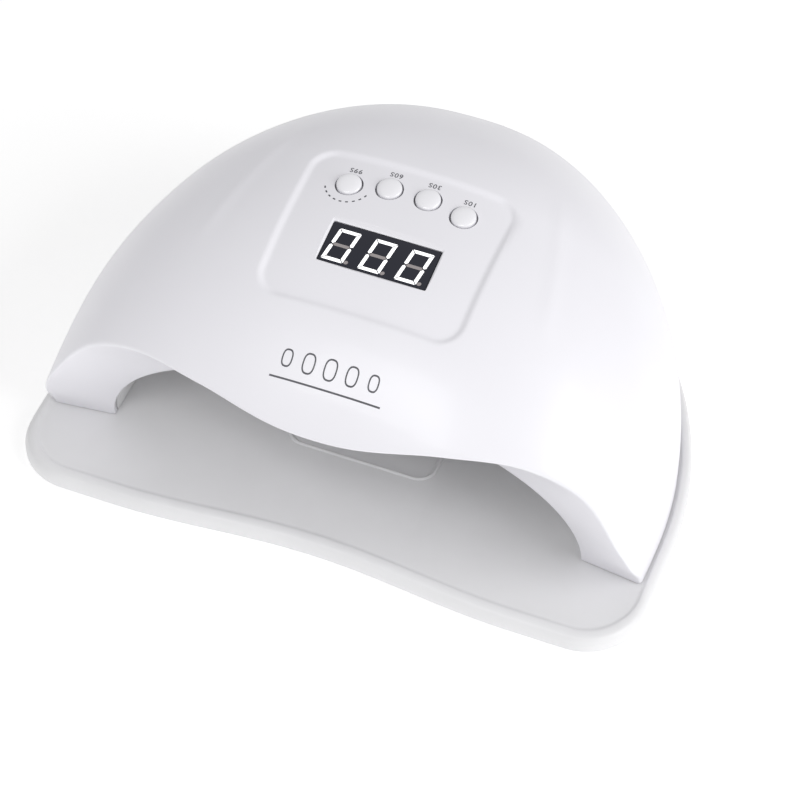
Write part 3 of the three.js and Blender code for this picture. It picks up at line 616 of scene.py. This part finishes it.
def flange_outline():
    front = MOUTH_FOOT_Y + BAND + 2 * GAP
    inset = WALL + 3 * GAP
    shares = np.sin(np.linspace(0, 1, 60) * np.pi / 2) ** 1.6

    def side(point, rear, offset, sign):
        p = point(0.0, rear + (front - rear) * shares, offset)
        return np.stack([sign * p[:, 0], p[:, 1]], -1)

    dome = dome_point, REAR_Y - inset, inset
    wall = cavity_point, CAVITY_REAR + LINER / 2, LINER / 2
    return np.concatenate([side(*dome, 1)[::-1], side(*dome, -1)[1:],
                           side(*wall, -1)[::-1], side(*wall, 1)[1:]])


def make_liner(material):
    a = liner_angles()
    front = mouth_y(a) + BAND * band_normal(a)[:, 1] + 2 * GAP
    shares = row_shares(cavity_point, CAVITY_REAR, MOUTH_FOOT_Y - MOUTH_LEAN, LINER_ROWS)

    def rows(outset):
        rear = CAVITY_REAR + outset
        return [cavity_point(a, rear + (front - rear) * s, outset) for s in shares]

    strip = rows(LINER) + rows(0.0)[::-1]
    outline = flange_outline()
    flange = lofted("flange", [(outline, FLANGE_Z), (outline, FLANGE_Z + FLANGE)])
    solids = [shell_strip("liner_shell", strip), flange]
    cutters = []
    for x, y in spots("magnet", 4):
        solids.append(rod("cup", CUP_R, FLANGE_Z - 0.01, CUP_TOP, at(x, y), chamfer=0.3))
        cutters.append(rod("pocket", MAGNET_R + GAP, 5, POCKET_TOP, at(x, y)))
    for x, y in spots("housing_screw", 6):
        solids.append(rod("boss", BOSS_R, FLANGE_Z - 0.01, BOSS_TOP, at(x, y), chamfer=0.3))
        bore, head = SCREW_R + GAP, SCREW_HEAD_R + GAP
        profile = [[0, 5], [head, 5], [head, SCREW_SEAT], [bore, SCREW_SEAT], [bore, 20], [0, 20]]
        cutters.append(lathe("bore", profile, at(x, y)))
    for _, count, matrix in led_boards():
        for place in bead_places(count):
            r = BEAD_HOLE
            profile = [[0, -7], [r + 1, -7], [r + 1, -LINER - 0.1], [r, -LINER + 0.7], [r, 2.5], [0, 2.5]]
            cutters.append(lathe("bead_hole", profile, matrix @ place, 32))
    for _, d in SENSORS:
        matrix = liner_frame(math.radians(d), SENSOR_Y, "y")
        cutters.append(rod("sensor_hole", SENSOR_R + GAP, -5, 2, matrix))
    liner = joined("liner", solids)
    boolean(liner, joined("cutters", cutters), self_overlap=True)
    finish_mesh(liner, 30)
    liner.data.materials.append(material)
    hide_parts("inner_liner")
    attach(liner, "lamp_head")


# -------- base tray
def tray_outline():
    """The tray's plan: a waved front, round front corners, and the dome's own plan set out."""
    x = np.linspace(0, CORNER_X, 60)[:-1]
    wave = np.where(x < WAVE_X, np.cos(np.pi * x / WAVE_X), -1.0)
    front = np.stack([x, FRONT_Y + FRONT_WAVE * wave], -1)
    t = np.linspace(0, np.pi / 2, 24)
    corner = np.stack([CORNER_X + CORNER_R * np.sin(t), CORNER_Y - CORNER_R * np.cos(t)], -1)
    straight = np.linspace(CORNER_Y, WIDEST_Y, 18)[1:-1]
    side = np.stack([np.full(len(straight), HALF_WIDTH + TRAY_MARGIN), straight], -1)
    s = 1 - np.sin(np.linspace(1, 0, 90) * np.pi / 2) ** 1.6
    y = WIDEST_Y + (REAR_Y - WIDEST_Y) * s
    slope = (dome_width(np.minimum(y + 0.02, REAR_Y)) - dome_width(y - 0.02)) / 0.04
    slope[0] = 0
    out = unit(np.stack([np.ones_like(y), -slope], -1))
    out[-1] = (0, 1)
    rear = np.stack([dome_width(y), y], -1) + out * TRAY_MARGIN
    half = np.concatenate([front, corner, side, rear])
    left = half[1:-1][::-1] * np.array([-1, 1])
    return np.concatenate([half, left])


def inset_outline(points, distance):
    """The outline moved in by a distance, each point along its own normal."""
    ahead, behind = np.roll(points, -1, 0), np.roll(points, 1, 0)
    inward = unit(np.stack([behind[:, 1] - ahead[:, 1], ahead[:, 0] - behind[:, 0]], -1))
    return points + inward * np.asarray(distance).reshape(-1, 1)


def smooth_profile(points, steps=4):
    """More points on a smooth curve through the given ones."""
    p = np.asarray(points, float)
    tangent = np.gradient(p, axis=0)
    t = np.linspace(0, 1, steps + 1)[:-1, None]
    parts = [smooth_curve(p[i], tangent[i], p[i + 1], tangent[i + 1], t) for i in range(len(p) - 1)]
    return np.concatenate([*parts, p[-1:]])


def make_tray(material):
    outline = tray_outline()
    stretch = 1 + RIM_FRONT_STRETCH * smooth((STRETCH_Y - outline[:, 1]) / STRETCH_RUN)
    rings = []
    for distance, z in smooth_profile(RIM_PROFILE):
        grow = 1 + (stretch - 1) * smooth((distance - 1.3) / 2)
        rings.append((inset_outline(outline, distance * grow), z))
    under = FLOOR_Z - TRAY_SKIN
    solid = lofted("tray", rings)
    hollow = lofted("hollow", [(inset_outline(outline, d), z)
                               for d, z in ((TRAY_WALL, -1), (TRAY_WALL, under - 0.6), (5, under))])
    boolean(solid, hollow)
    bosses, cutters = [], []
    for i in range(1, 5):
        x, y, _ = node_middle(f"foot_{i}")
        bosses.append(rod("boss", FOOT_BOSS_R, 1, under + 0.5, at(x, y), chamfer=0.3))
        cutters.append(rod("pocket", FOOT_R + GAP, -1, FOOT_H + GAP, at(x, y)))
        x, y, _ = node_middle(f"keeper_disc_{i}")
        bosses.append(rod("boss", KEEPER_BOSS_R, 3, under + 0.5, at(x, y), chamfer=0.3))
        cutters.append(rod("pocket", MAGNET_R + GAP, -1, KEEPER_POCKET_TOP, at(x, y)))
    bosses.append(lofted("lip", [(rounded_outline(RECESS_HALF + g, RECESS_HALF + g, RECESS_FRONT - g,
                                                  RECESS_REAR + g, RECESS_CORNER + g), FLOOR_Z + z)
                                 for g, z in RECESS_LIP]))
    boolean(solid, joined("bosses", bosses), "UNION")
    recess = [(rounded_outline(RECESS_HALF - i, RECESS_HALF - i, RECESS_FRONT + i, RECESS_REAR - i,
                               RECESS_CORNER - i), FLOOR_Z + z) for i, z in RECESS_SIDE]
    cutters.append(lofted("recess", recess))
    boolean(solid, joined("cutters", cutters))
    finish_mesh(solid, 40)
    solid.data.materials.append(material)
    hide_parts("base_tray")
    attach(solid, "tray")


# -------- controls
def crown(r, z0, z1, power=2.3, steps=9):
    """Profile points of a domed cap from the edge to the middle."""
    t = np.linspace(0, np.pi / 2, steps)
    e = 2 / power
    return [[r * math.cos(k) ** e, z0 + (z1 - z0) * math.sin(k) ** e] for k in t[:-1]] + [[0, z1]]


def make_button(name, x, v, material):
    surface = float(panel_surface(x, v))
    top, lip = surface + BUTTON_PROUD, surface - 3
    r = BUTTON_R - CAP_TRIM
    stem = BOARD_TOP + 4.8
    profile = [[0, stem], [2, stem], [2, lip - 0.8], [r + 1, lip - 0.8], [r + 1, lip], [r, lip]]
    o = finish_mesh(lathe(f"key_cap_{name}", profile + crown(r, top - 1.15, top), panel_matrix(x, v), 72))
    o.data.materials.append(material)
    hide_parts(f"button_{name}")
    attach(o, f"key_{name}")


def make_window(material):
    block = rounded_block("display_filter", WINDOW_X / 2, WINDOW_Y / 2, WINDOW_TOP - WINDOW_THICK, WINDOW_TOP,
                          0.4, 0.12, panel_matrix(0, WINDOW_V))
    finish_mesh(block)
    block.data.materials.append(material)
    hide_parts("display_window")
    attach(block, "lamp_head")


DIGIT_W, DIGIT_H, STROKE, DIGIT_PITCH, DIGIT_SLANT = 3.95, 6.7, 1.25, 13.3, math.tan(math.radians(8.5))
DIGIT_SHIFT_X, DIGIT_SHIFT_V = -0.4, -0.6
SEGMENT_GAP = 0.22
INK = 0.03  # how far printed and lit shapes stand off the face under them


def outer_segments():
    """Outlines of the six outer bars of a digit about its middle."""
    w, h, t, g = DIGIT_W, DIGIT_H, STROKE, SEGMENT_GAP
    top = [(-w + g, h), (w - g, h), (w - t - g, h - t), (-w + t + g, h - t)]
    side = [(w, h - g), (w - t, h - t - g), (w - t, g + t / 2), (w - t / 2, g), (w, g + t / 3)]
    shapes = []
    for flip in (1, -1):
        shapes.append([(x, flip * y) for x, y in top])
        shapes += [[(mirror * x, flip * y) for x, y in side] for mirror in (1, -1)]
    return shapes


def middle_segment():
    w, t = DIGIT_W, STROKE
    a, b = w - 0.65 * t, w - 1.25 * t
    return [(-a, 0), (-b, t / 2), (b, t / 2), (a, 0), (b, -t / 2), (-b, -t / 2)]


def dot(r=0.75, steps=20):
    t = np.arange(steps) * 2 * np.pi / steps
    return [(r * math.cos(k), r * math.sin(k)) for k in t]


def flat_prisms(name, shapes, n, thickness):
    """Thin prisms on the panel, from outlines in panel x and v, with their foot at height n."""
    points, faces = [], []
    for shape in shapes:
        shape = np.asarray(shape)
        k, start = len(shape), len(points)
        for level in (n, n + thickness):
            points += list(on_panel(shape[:, 0], shape[:, 1], np.full(k, level)))
        faces += grid_faces(2, k, start=start, wrap=True)
        faces += [list(range(start, start + k))[::-1], list(range(start + k, start + 2 * k))]
    return mesh_object(name, points, faces, merge=1e-4)


def digit_shapes(outlines):
    shapes = []
    for i in (-1, 0, 1):
        for outline in outlines:
            p = np.asarray(outline, float)
            x = p[:, 0] + DIGIT_SLANT * p[:, 1] + i * DIGIT_PITCH + DIGIT_SHIFT_X
            shapes.append(np.stack([x, p[:, 1] + WINDOW_V + DIGIT_SHIFT_V], -1))
    return shapes


def make_digits(lit, unlit):
    dots = [(x + 4.9, y - DIGIT_H + 0.75) for x, y in dot()]
    for name, outlines, material in (("digit_bars_lit", outer_segments(), lit),
                                     ("digit_bars_dark", [middle_segment()], unlit),
                                     ("digit_dots", [dots], unlit)):
        o = flat_prisms(name, digit_shapes(outlines), WINDOW_TOP - 0.02, 0.02 + INK)
        o.data.materials.append(material)
        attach(o, "lamp_head")


def make_label(name, x, v, text, size, material):
    """A timer value printed by its key, read from behind the lamp."""
    curve = bpy.data.curves.new(name, "FONT")
    curve.body, curve.size, curve.align_x, curve.align_y = text, size, "CENTER", "CENTER"
    curve.space_character = 1.15
    o = new_object(name, curve)
    mesh = bpy.data.meshes.new_from_object(o.evaluated_get(bpy.context.evaluated_depsgraph_get()))
    bpy.data.objects.remove(o)
    flat = np.array([p.co for p in mesh.vertices])
    px, pv = x - flat[:, 0], v - flat[:, 1]
    points = on_panel(px, pv, panel_surface(px, pv) + INK)
    for vertex, p in zip(mesh.vertices, points):
        vertex.co = p * MM
    label = new_object(name, mesh)
    thicken(label, material)


def thicken(o, material):
    """Gives a flat print a little real thickness, down to just under the face it lies on."""
    b = bmesh.new()
    b.from_mesh(o.data)
    _, _, _, out = panel_axes()
    bottom = bmesh.ops.extrude_face_region(b, geom=b.faces[:])
    moved = [e for e in bottom["geom"] if isinstance(e, bmesh.types.BMVert)]
    bmesh.ops.translate(b, verts=moved, vec=Vector(-out * 2 * INK * MM))
    bmesh.ops.recalc_face_normals(b, faces=b.faces)
    b.to_mesh(o.data)
    b.free()
    o.data.materials.clear()
    o.data.materials.append(material)
    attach(o, "lamp_head")


def ribbon(name, lines, width, surface, material):
    """Printed lines that lie on a surface: each line is an open run of points in plan."""
    points, faces = [], []
    for line in lines:
        p = np.asarray(line, float)
        side = unit(np.gradient(p, axis=0))[:, ::-1] * np.array([-1, 1]) * width / 2
        start = len(points)
        both = np.stack([p - side, p + side], 1).reshape(-1, 2)
        points += list(surface(both[:, 0], both[:, 1]))
        faces += grid_faces(len(p), 2, start=start)
    thicken(mesh_object(name, points, faces, merge=1e-4), material)


def on_sunk_panel(x, v):
    return on_panel(x, v, panel_surface(x, v) + INK)


def on_dome(x, y):
    return np.stack([x, y, dome_z(x, y) + INK], -1)


LABEL_UP, LABEL_SIZE, ARC_R, ARC_LINE = 6.9, 2.9, 8.3, 0.5


def make_prints(material):
    """The key values, a dotted arc by the longest timer, and a row of plain nail shapes."""
    for name, x, v in BUTTONS:
        make_label(f"print_{name}", x, v + LABEL_UP, name.upper(), LABEL_SIZE, material)
    x, v = BUTTONS[0][1:]
    arcs = []
    for middle in np.radians(np.linspace(205, 335, 9)):
        t = middle + np.linspace(-0.06, 0.06, 5)
        arcs.append(np.stack([x + ARC_R * np.cos(t), v + ARC_R * np.sin(t)], -1))
    ribbon("print_arc", arcs, ARC_LINE, on_sunk_panel, material)
    make_nail_prints(material)


NAIL_PRINT_Y, NAIL_PRINT_PITCH, NAIL_LINE = -70.5, 7.8, 0.5


def make_nail_prints(material):
    lines = []
    for i, size in zip(range(-2, 3), (0.8, 0.95, 1.0, 0.93, 0.78)):
        t = np.linspace(0, 2 * np.pi, 33)
        wide = 2.1 * size * np.sign(np.cos(t)) * np.abs(np.cos(t)) ** 0.75
        tall = 2.9 * size * np.sign(np.sin(t)) * np.abs(np.sin(t)) ** 0.75
        lines.append(np.stack([i * NAIL_PRINT_PITCH + wide, NAIL_PRINT_Y + tall], -1))
    rule = np.linspace(-20, 20, 41)
    lines.append(np.stack([rule, np.full(41, NAIL_PRINT_Y - 5.6)], -1))
    ribbon("print_nails", lines, NAIL_LINE, on_dome, material)


# -------- small pieces
def make_feet(material):
    for i in range(1, 5):
        x, y, _ = node_middle(f"foot_{i}")
        r, h = FOOT_R, FOOT_H
        profile = [[0, 0.25], [r - 1.6, 0.25], [r - 1.2, 0], [r - 0.5, 0], [r - 0.15, 0.15],
                   [r, 0.5], [r, h], [0, h]]
        o = finish_mesh(lathe(f"rubber_foot_{i}", profile, at(x, y)))
        place(o, material, f"foot_{i}", "foot_rubber", "tray")


def place(o, material, node, slot, body):
    o.data.materials.append(material)
    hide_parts(node)
    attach(o, body)


def make_discs(steel, nickel):
    for kind, material, slot, body in (("keeper_disc", steel, "steel", "tray"),
                                       ("magnet", nickel, "magnet_nickel", "lamp_head")):
        for i in range(1, 5):
            node = f"{kind}_{i}"
            low, high = (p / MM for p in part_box(node))
            x, y, _ = node_middle(node)
            o = finish_mesh(rod(f"{kind}_turned_{i}", MAGNET_R, low.z, high.z, at(x, y), chamfer=0.25))
            place(o, material, node, slot, body)


def screw_mesh(r, head_r, head_h, length):
    """A pan-head screw, head down, with a cross recess and a coarse thread."""
    profile = [[0, 0], [head_r * 0.7, 0], [head_r * 0.94, 0.35 * head_h], [head_r, head_h], [r, head_h]]
    turns = int(length / SCREW_PITCH) - 1
    for k in range(turns):
        z = head_h + SCREW_PITCH / 2 + k * SCREW_PITCH
        profile += [[r * 0.78, z], [r, z + SCREW_PITCH / 2]]
    profile += [[r * 0.5, head_h + length - 0.5], [0, head_h + length]]
    o = lathe("screw", profile, sides=24)
    slots = []
    for turn in (0, math.pi / 2):
        slot = rounded_block("slot", head_r * 0.55, 0.28, -1, head_h * 0.6, 0.1, 0.02)
        slot.data.transform(Matrix.Rotation(turn, 4, "Z"))
        slots.append(slot)
    boolean(o, boolean(slots[0], slots[1], "UNION"))
    finish_mesh(o, 40)
    mesh = o.data
    bpy.data.objects.remove(o)
    return mesh


def make_screws(material):
    mesh = screw_mesh(SCREW_R, SCREW_HEAD_R, SCREW_HEAD_H, SCREW_LENGTH)
    for i in range(1, 7):
        x, y, _ = node_middle(f"housing_screw_{i}")
        o = new_object(f"cross_screw_{i}", mesh.copy())
        o.data.transform(at(x, y, SCREW_Z))
        place(o, material, f"housing_screw_{i}", "steel", "lamp_head")


def make_led_boards(board, lens, chip):
    for name, count, matrix in led_boards():
        length = (count - 1) * BEAD_PITCH + 8
        strip = rounded_block("strip", LED_WIDTH / 2, length / 2, BEAD_STAND, BEAD_STAND + LED_THICK,
                              0.8, 0.08, matrix)
        cups, beads, dies = [], [], []
        tip = -LINER - LENS_PROUD
        for here in bead_places(count):
            m = matrix @ here
            face = CUP_END[-1][1]
            cup = [*CUP_END, (BEAD_R, face), (BEAD_R, BEAD_STAND), (0, BEAD_STAND)]
            cups.append(lathe("cup", cup, m, 32))
            t = np.linspace(0, np.pi / 2, 9)
            cap = [[LENS_R * math.sin(k), LENS_FOOT - (LENS_FOOT - tip) * math.cos(k)] for k in t]
            beads.append(lathe("bead", [[0, tip], *cap[1:], [LENS_R, LENS_SEAT], [0, LENS_SEAT]], m, 32))
            dies.append(rounded_block("die", DIE_HALF, DIE_HALF, DIE_LOW, DIE_TOP, 0.1, 0.03, m))
        o = finish_mesh(joined(f"lamp_strip_{name}", [strip, *cups]))
        place(o, board, f"led_board_{name}", "board_white", "lamp_head")
        for part, pieces, material in (("lens", beads, lens), ("die", dies, chip)):
            p = finish_mesh(joined(f"{part}_{name}", pieces))
            p.data.materials.append(material)
            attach(p, "lamp_head")


def make_sensors(material):
    for side, d in SENSORS:
        matrix = liner_frame(math.radians(d), SENSOR_Y, "y")
        t = np.linspace(0, np.pi / 2, 7)
        cap = [[SENSOR_R * math.sin(k), -1.2 - 1.4 * math.cos(k)] for k in t]
        o = finish_mesh(lathe(f"sensor_eye_{side}", [[0, -2.6], *cap[1:], [SENSOR_R, 5], [0, 5]], matrix, 32))
        place(o, material, f"hand_sensor_{side}", "black_plastic", "lamp_head")


def make_jack(material):
    turn = facing_rear(JACK_Z)
    box = rounded_block("jack", JACK_HALF_X, JACK_HALF_Z, JACK_Y, JACK_Y + JACK_DEPTH, 0.5, 0.3, turn)
    end = REAR_Y - 1.2
    barrel = rod("barrel", JACK_R, JACK_Y + JACK_DEPTH - 1, end, turn, chamfer=0.3)
    boolean(box, barrel, "UNION")
    boolean(box, rod("bore", JACK_BORE, JACK_Y + 3, REAR_Y + 1, turn))
    pin = lathe("pin", [[0, JACK_Y + 2], [PIN_R, JACK_Y + 2], [PIN_R, end - 2.4],
                        [PIN_TIP_R, end - 1.9], [0, end - 1.8]], turn, 24)
    o = finish_mesh(joined("power_socket", [box, pin]))
    place(o, material, "dc_jack", "black_plastic", "lamp_head")


# -------- materials
DRIFT_SCALE, SMUDGE_SCALE = 38, 60  # per metre: patches of tone and of roughness
PLASTIC_IOR, COAT_ROUGHNESS = 1.5, 0.08


def set_sockets(node, values):
    for name, value in values.items():
        node.inputs[name].default_value = value


def noise(tree, scale, detail, stretch=(1, 1, 1)):
    coordinates = tree.nodes.new("ShaderNodeTexCoord")
    mapping = tree.nodes.new("ShaderNodeMapping")
    mapping.inputs["Scale"].default_value = stretch
    texture = tree.nodes.new("ShaderNodeTexNoise")
    set_sockets(texture, {"Scale": scale, "Detail": detail})
    tree.links.new(coordinates.outputs["Object"], mapping.inputs["Vector"])
    tree.links.new(mapping.outputs["Vector"], texture.inputs["Vector"])
    return texture.outputs["Fac"]


def ranged(tree, value, low, high):
    """The middle of a noise's range, 0.3 to 0.7, spread from low to high."""
    node = tree.nodes.new("ShaderNodeMapRange")
    set_sockets(node, {"From Min": 0.3, "From Max": 0.7, "To Min": low, "To Max": high})
    tree.links.new(value, node.inputs["Value"])
    return node.outputs["Result"]


def mixed(tree, factor, first, second):
    node = tree.nodes.new("ShaderNodeMix")
    node.data_type = "RGBA"
    node.inputs[6].default_value = (*first, 1)
    node.inputs[7].default_value = (*second, 1)
    tree.links.new(factor, node.inputs[0])
    return node.outputs[2]


def material(name, color, roughness, spread=0.05, metal=0.0, grain=(900, 0.02, 0.00005), tone=0.97,
             scratch=(1, 1, 1), coat=0.0):
    """A surface with drifting tone, uneven roughness and a fine moulded or machined grain.
    grain is its scale per metre, strength and depth in metres; scratch stretches it along X."""
    m = bpy.data.materials.new(name)
    m.use_nodes = True
    tree = m.node_tree
    shader = tree.nodes["Principled BSDF"]
    set_sockets(shader, {"Metallic": metal, "IOR": PLASTIC_IOR, "Coat Weight": coat,
                         "Coat Roughness": COAT_ROUGHNESS})
    drift = ranged(tree, noise(tree, DRIFT_SCALE, 4), 0, 1)
    worn = tuple(c * tone for c in color)
    tree.links.new(mixed(tree, drift, color, worn), shader.inputs["Base Color"])
    smudge = ranged(tree, noise(tree, SMUDGE_SCALE, 3), roughness - spread, roughness + spread)
    tree.links.new(smudge, shader.inputs["Roughness"])
    scale, strength, depth = grain
    bump = tree.nodes.new("ShaderNodeBump")
    set_sockets(bump, {"Strength": strength, "Distance": depth})
    tree.links.new(noise(tree, scale, 2, scratch), bump.inputs["Height"])
    tree.links.new(bump.outputs["Normal"], shader.inputs["Normal"])
    return m


def make_materials():
    m = {
        "housing_white": material("housing_gloss", (0.865, 0.857, 0.9), 0.36, 0.03,
                                  grain=(1400, 0.03, 0.00002),
                                  tone=0.99, coat=0.12),
        "liner_white": material("liner_satin", (0.88, 0.88, 0.885), 0.36, 0.05,
                                grain=(1200, 0.12, 0.00005)),
        "tray_white": material("tray_satin", (0.8, 0.798, 0.81), 0.42, 0.05,
                               grain=(1500, 0.08, 0.00003)),
        "key_white": material("key_gloss", (0.9, 0.895, 0.93), 0.24, 0.04,
                              grain=(1600, 0.06, 0.00003), coat=0.3),
        "window_smoked": material("filter_smoked", (0.016, 0.017, 0.028), 0.16, 0.03,
                                  grain=(900, 0.03, 0.00002)),
        "display_black": material("epoxy_black", (0.03, 0.03, 0.035), 0.55, 0.06),
        "black_plastic": material("moulded_black", (0.022, 0.022, 0.025), 0.45, 0.08,
                                  grain=(2200, 0.3, 0.00005)),
        "board_green": material("solder_mask", (0.03, 0.16, 0.08), 0.4, 0.06, grain=(800, 0.2, 0.00004)),
        "board_white": material("white_mask", (0.78, 0.78, 0.74), 0.4, 0.06, grain=(900, 0.15, 0.00004)),
        "steel": material("zinc_steel", (0.56, 0.57, 0.58), 0.32, 0.08,
                          1.0, (500, 0.2, 0.00004), 0.85, (1, 6, 6)),
        "magnet_nickel": material("nickel", (0.66, 0.655, 0.64), 0.18, 0.06,
                                  1.0, (700, 0.1, 0.00003), 0.9),
        "can_metal": material("can_aluminium", (0.58, 0.59, 0.61), 0.3, 0.07,
                              1.0, (600, 0.2, 0.00004), 0.9, (1, 1, 8)),
        "foot_rubber": material("rubber", (0.035, 0.035, 0.038), 0.8, 0.08, grain=(1800, 0.5, 0.0001)),
        "wire_white": material("insulation", (0.72, 0.72, 0.72), 0.5, 0.06, grain=(900, 0.1, 0.00004)),
        "ink": material("printed_ink", (0.10, 0.10, 0.115), 0.55, 0.08, tone=0.8),
        "bar_dark": material("bar_unlit", (0.34, 0.31, 0.31), 0.5, 0.05),
        "bar_lit": material("bar_lit", (0.95, 0.95, 0.95), 0.5, 0.05),
        "lens": material("bead_lens", (0.86, 0.86, 0.88), 0.1, 0.03,
                         grain=(900, 0.03, 0.00002), coat=0.5),
        "die": material("bead_die", (0.75, 0.55, 0.08), 0.4, 0.05),
    }
    glow = m["bar_lit"].node_tree.nodes["Principled BSDF"]
    set_sockets(glow, {"Emission Color": (1, 1, 1, 1), "Emission Strength": 0.9})
    clear = m["lens"].node_tree.nodes["Principled BSDF"]
    clear.inputs["Transmission Weight"].default_value = 0.85
    return m


def dress_nodes(materials):
    """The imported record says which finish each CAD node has."""
    for part in frame["record"]["subparts"]:
        node = frame["nodes"][part["node"]]
        node.data.materials.clear()
        node.data.materials.append(materials[part["material_slot"]])


# -------- floor, light and camera
def make_floor():
    size = 3000
    corners = [(-size, -size, 0), (size, -size, 0), (size, size, 0), (-size, size, 0)]
    o = mesh_object("floor", corners, [[0, 1, 2, 3]])
    m = bpy.data.materials.new("pale_floor")
    m.use_nodes = True
    shader = m.node_tree.nodes["Principled BSDF"]
    set_sockets(shader, {"Base Color": (0.93, 0.93, 0.93, 1), "Emission Color": (1, 1, 1, 1),
                         "Emission Strength": 0.3, "Roughness": 0.9, "Specular IOR Level": 0.1})
    o.data.materials.append(m)


def area_light(name, place, target, size, power):
    data = bpy.data.lights.new(name, "AREA")
    data.shape, data.size, data.size_y, data.energy = "RECTANGLE", *size, power
    o = new_object(name, data)
    o.location = place
    o.rotation_euler = (Vector(target) - Vector(place)).to_track_quat("-Z", "Y").to_euler()


def make_light():
    world = bpy.data.worlds.new("studio")
    world.use_nodes = True
    background = world.node_tree.nodes["Background"]
    set_sockets(background, {"Color": (1, 1, 1, 1), "Strength": 0.5})
    bpy.context.scene.world = world
    bpy.context.scene.view_settings.view_transform = "Standard"
    area_light("key", (1.2, -0.2, 0.75), (0.0, 0.0, 0.05), (0.9, 0.9), 9.4)
    area_light("front", (-0.1, -0.7, 1.0), (0.0, 0.0, 0.0), (0.45, 0.45), 3.1)


CAMERA_AZIMUTH, CAMERA_HEIGHT, CAMERA_ROLL = 20.92, 49.48, 0.69  # degrees
CAMERA_DISTANCE, CAMERA_SHIFT_X, CAMERA_SHIFT_Y = 1079.8, 0.964, 31.28
CAMERA_TARGET = (0.0, -3.4, 40.0)
SENSOR_WIDTH, LENS = 36.0, 135.8


def make_camera():
    azimuth, height, roll = (math.radians(k) for k in (CAMERA_AZIMUTH, CAMERA_HEIGHT, CAMERA_ROLL))
    forward = np.array([-math.sin(azimuth) * math.cos(height), math.cos(azimuth) * math.cos(height),
                        -math.sin(height)])
    level = np.array([math.cos(azimuth), math.sin(azimuth), 0])
    upright = np.cross(level, forward)
    right = level * math.cos(roll) + upright * math.sin(roll)
    up = upright * math.cos(roll) - level * math.sin(roll)
    eye = np.array(CAMERA_TARGET) - CAMERA_DISTANCE * forward - CAMERA_SHIFT_X * right - CAMERA_SHIFT_Y * up
    data = bpy.data.cameras.new("camera")
    data.sensor_width, data.lens = SENSOR_WIDTH, LENS
    data.clip_start, data.clip_end = 0.05, 20
    o = new_object("camera", data)
    o.matrix_world = frame_matrix(eye, right, up, -forward)
    bpy.context.scene.camera = o


# -------- assembly
materials = make_materials()
dress_nodes(materials)
make_housing(materials["housing_white"])
make_posts(materials["housing_white"])
make_liner(materials["liner_white"])
make_tray(materials["tray_white"])
for key, key_x, key_v in BUTTONS:
    make_button(key, key_x, key_v, materials["key_white"])
make_window(materials["window_smoked"])
make_digits(materials["bar_lit"], materials["bar_dark"])
make_prints(materials["ink"])
make_feet(materials["foot_rubber"])
make_discs(materials["steel"], materials["magnet_nickel"])
make_screws(materials["steel"])
make_led_boards(materials["board_white"], materials["lens"], materials["die"])
make_sensors(materials["black_plastic"])
make_jack(materials["black_plastic"])
make_floor()
make_light()
make_camera()
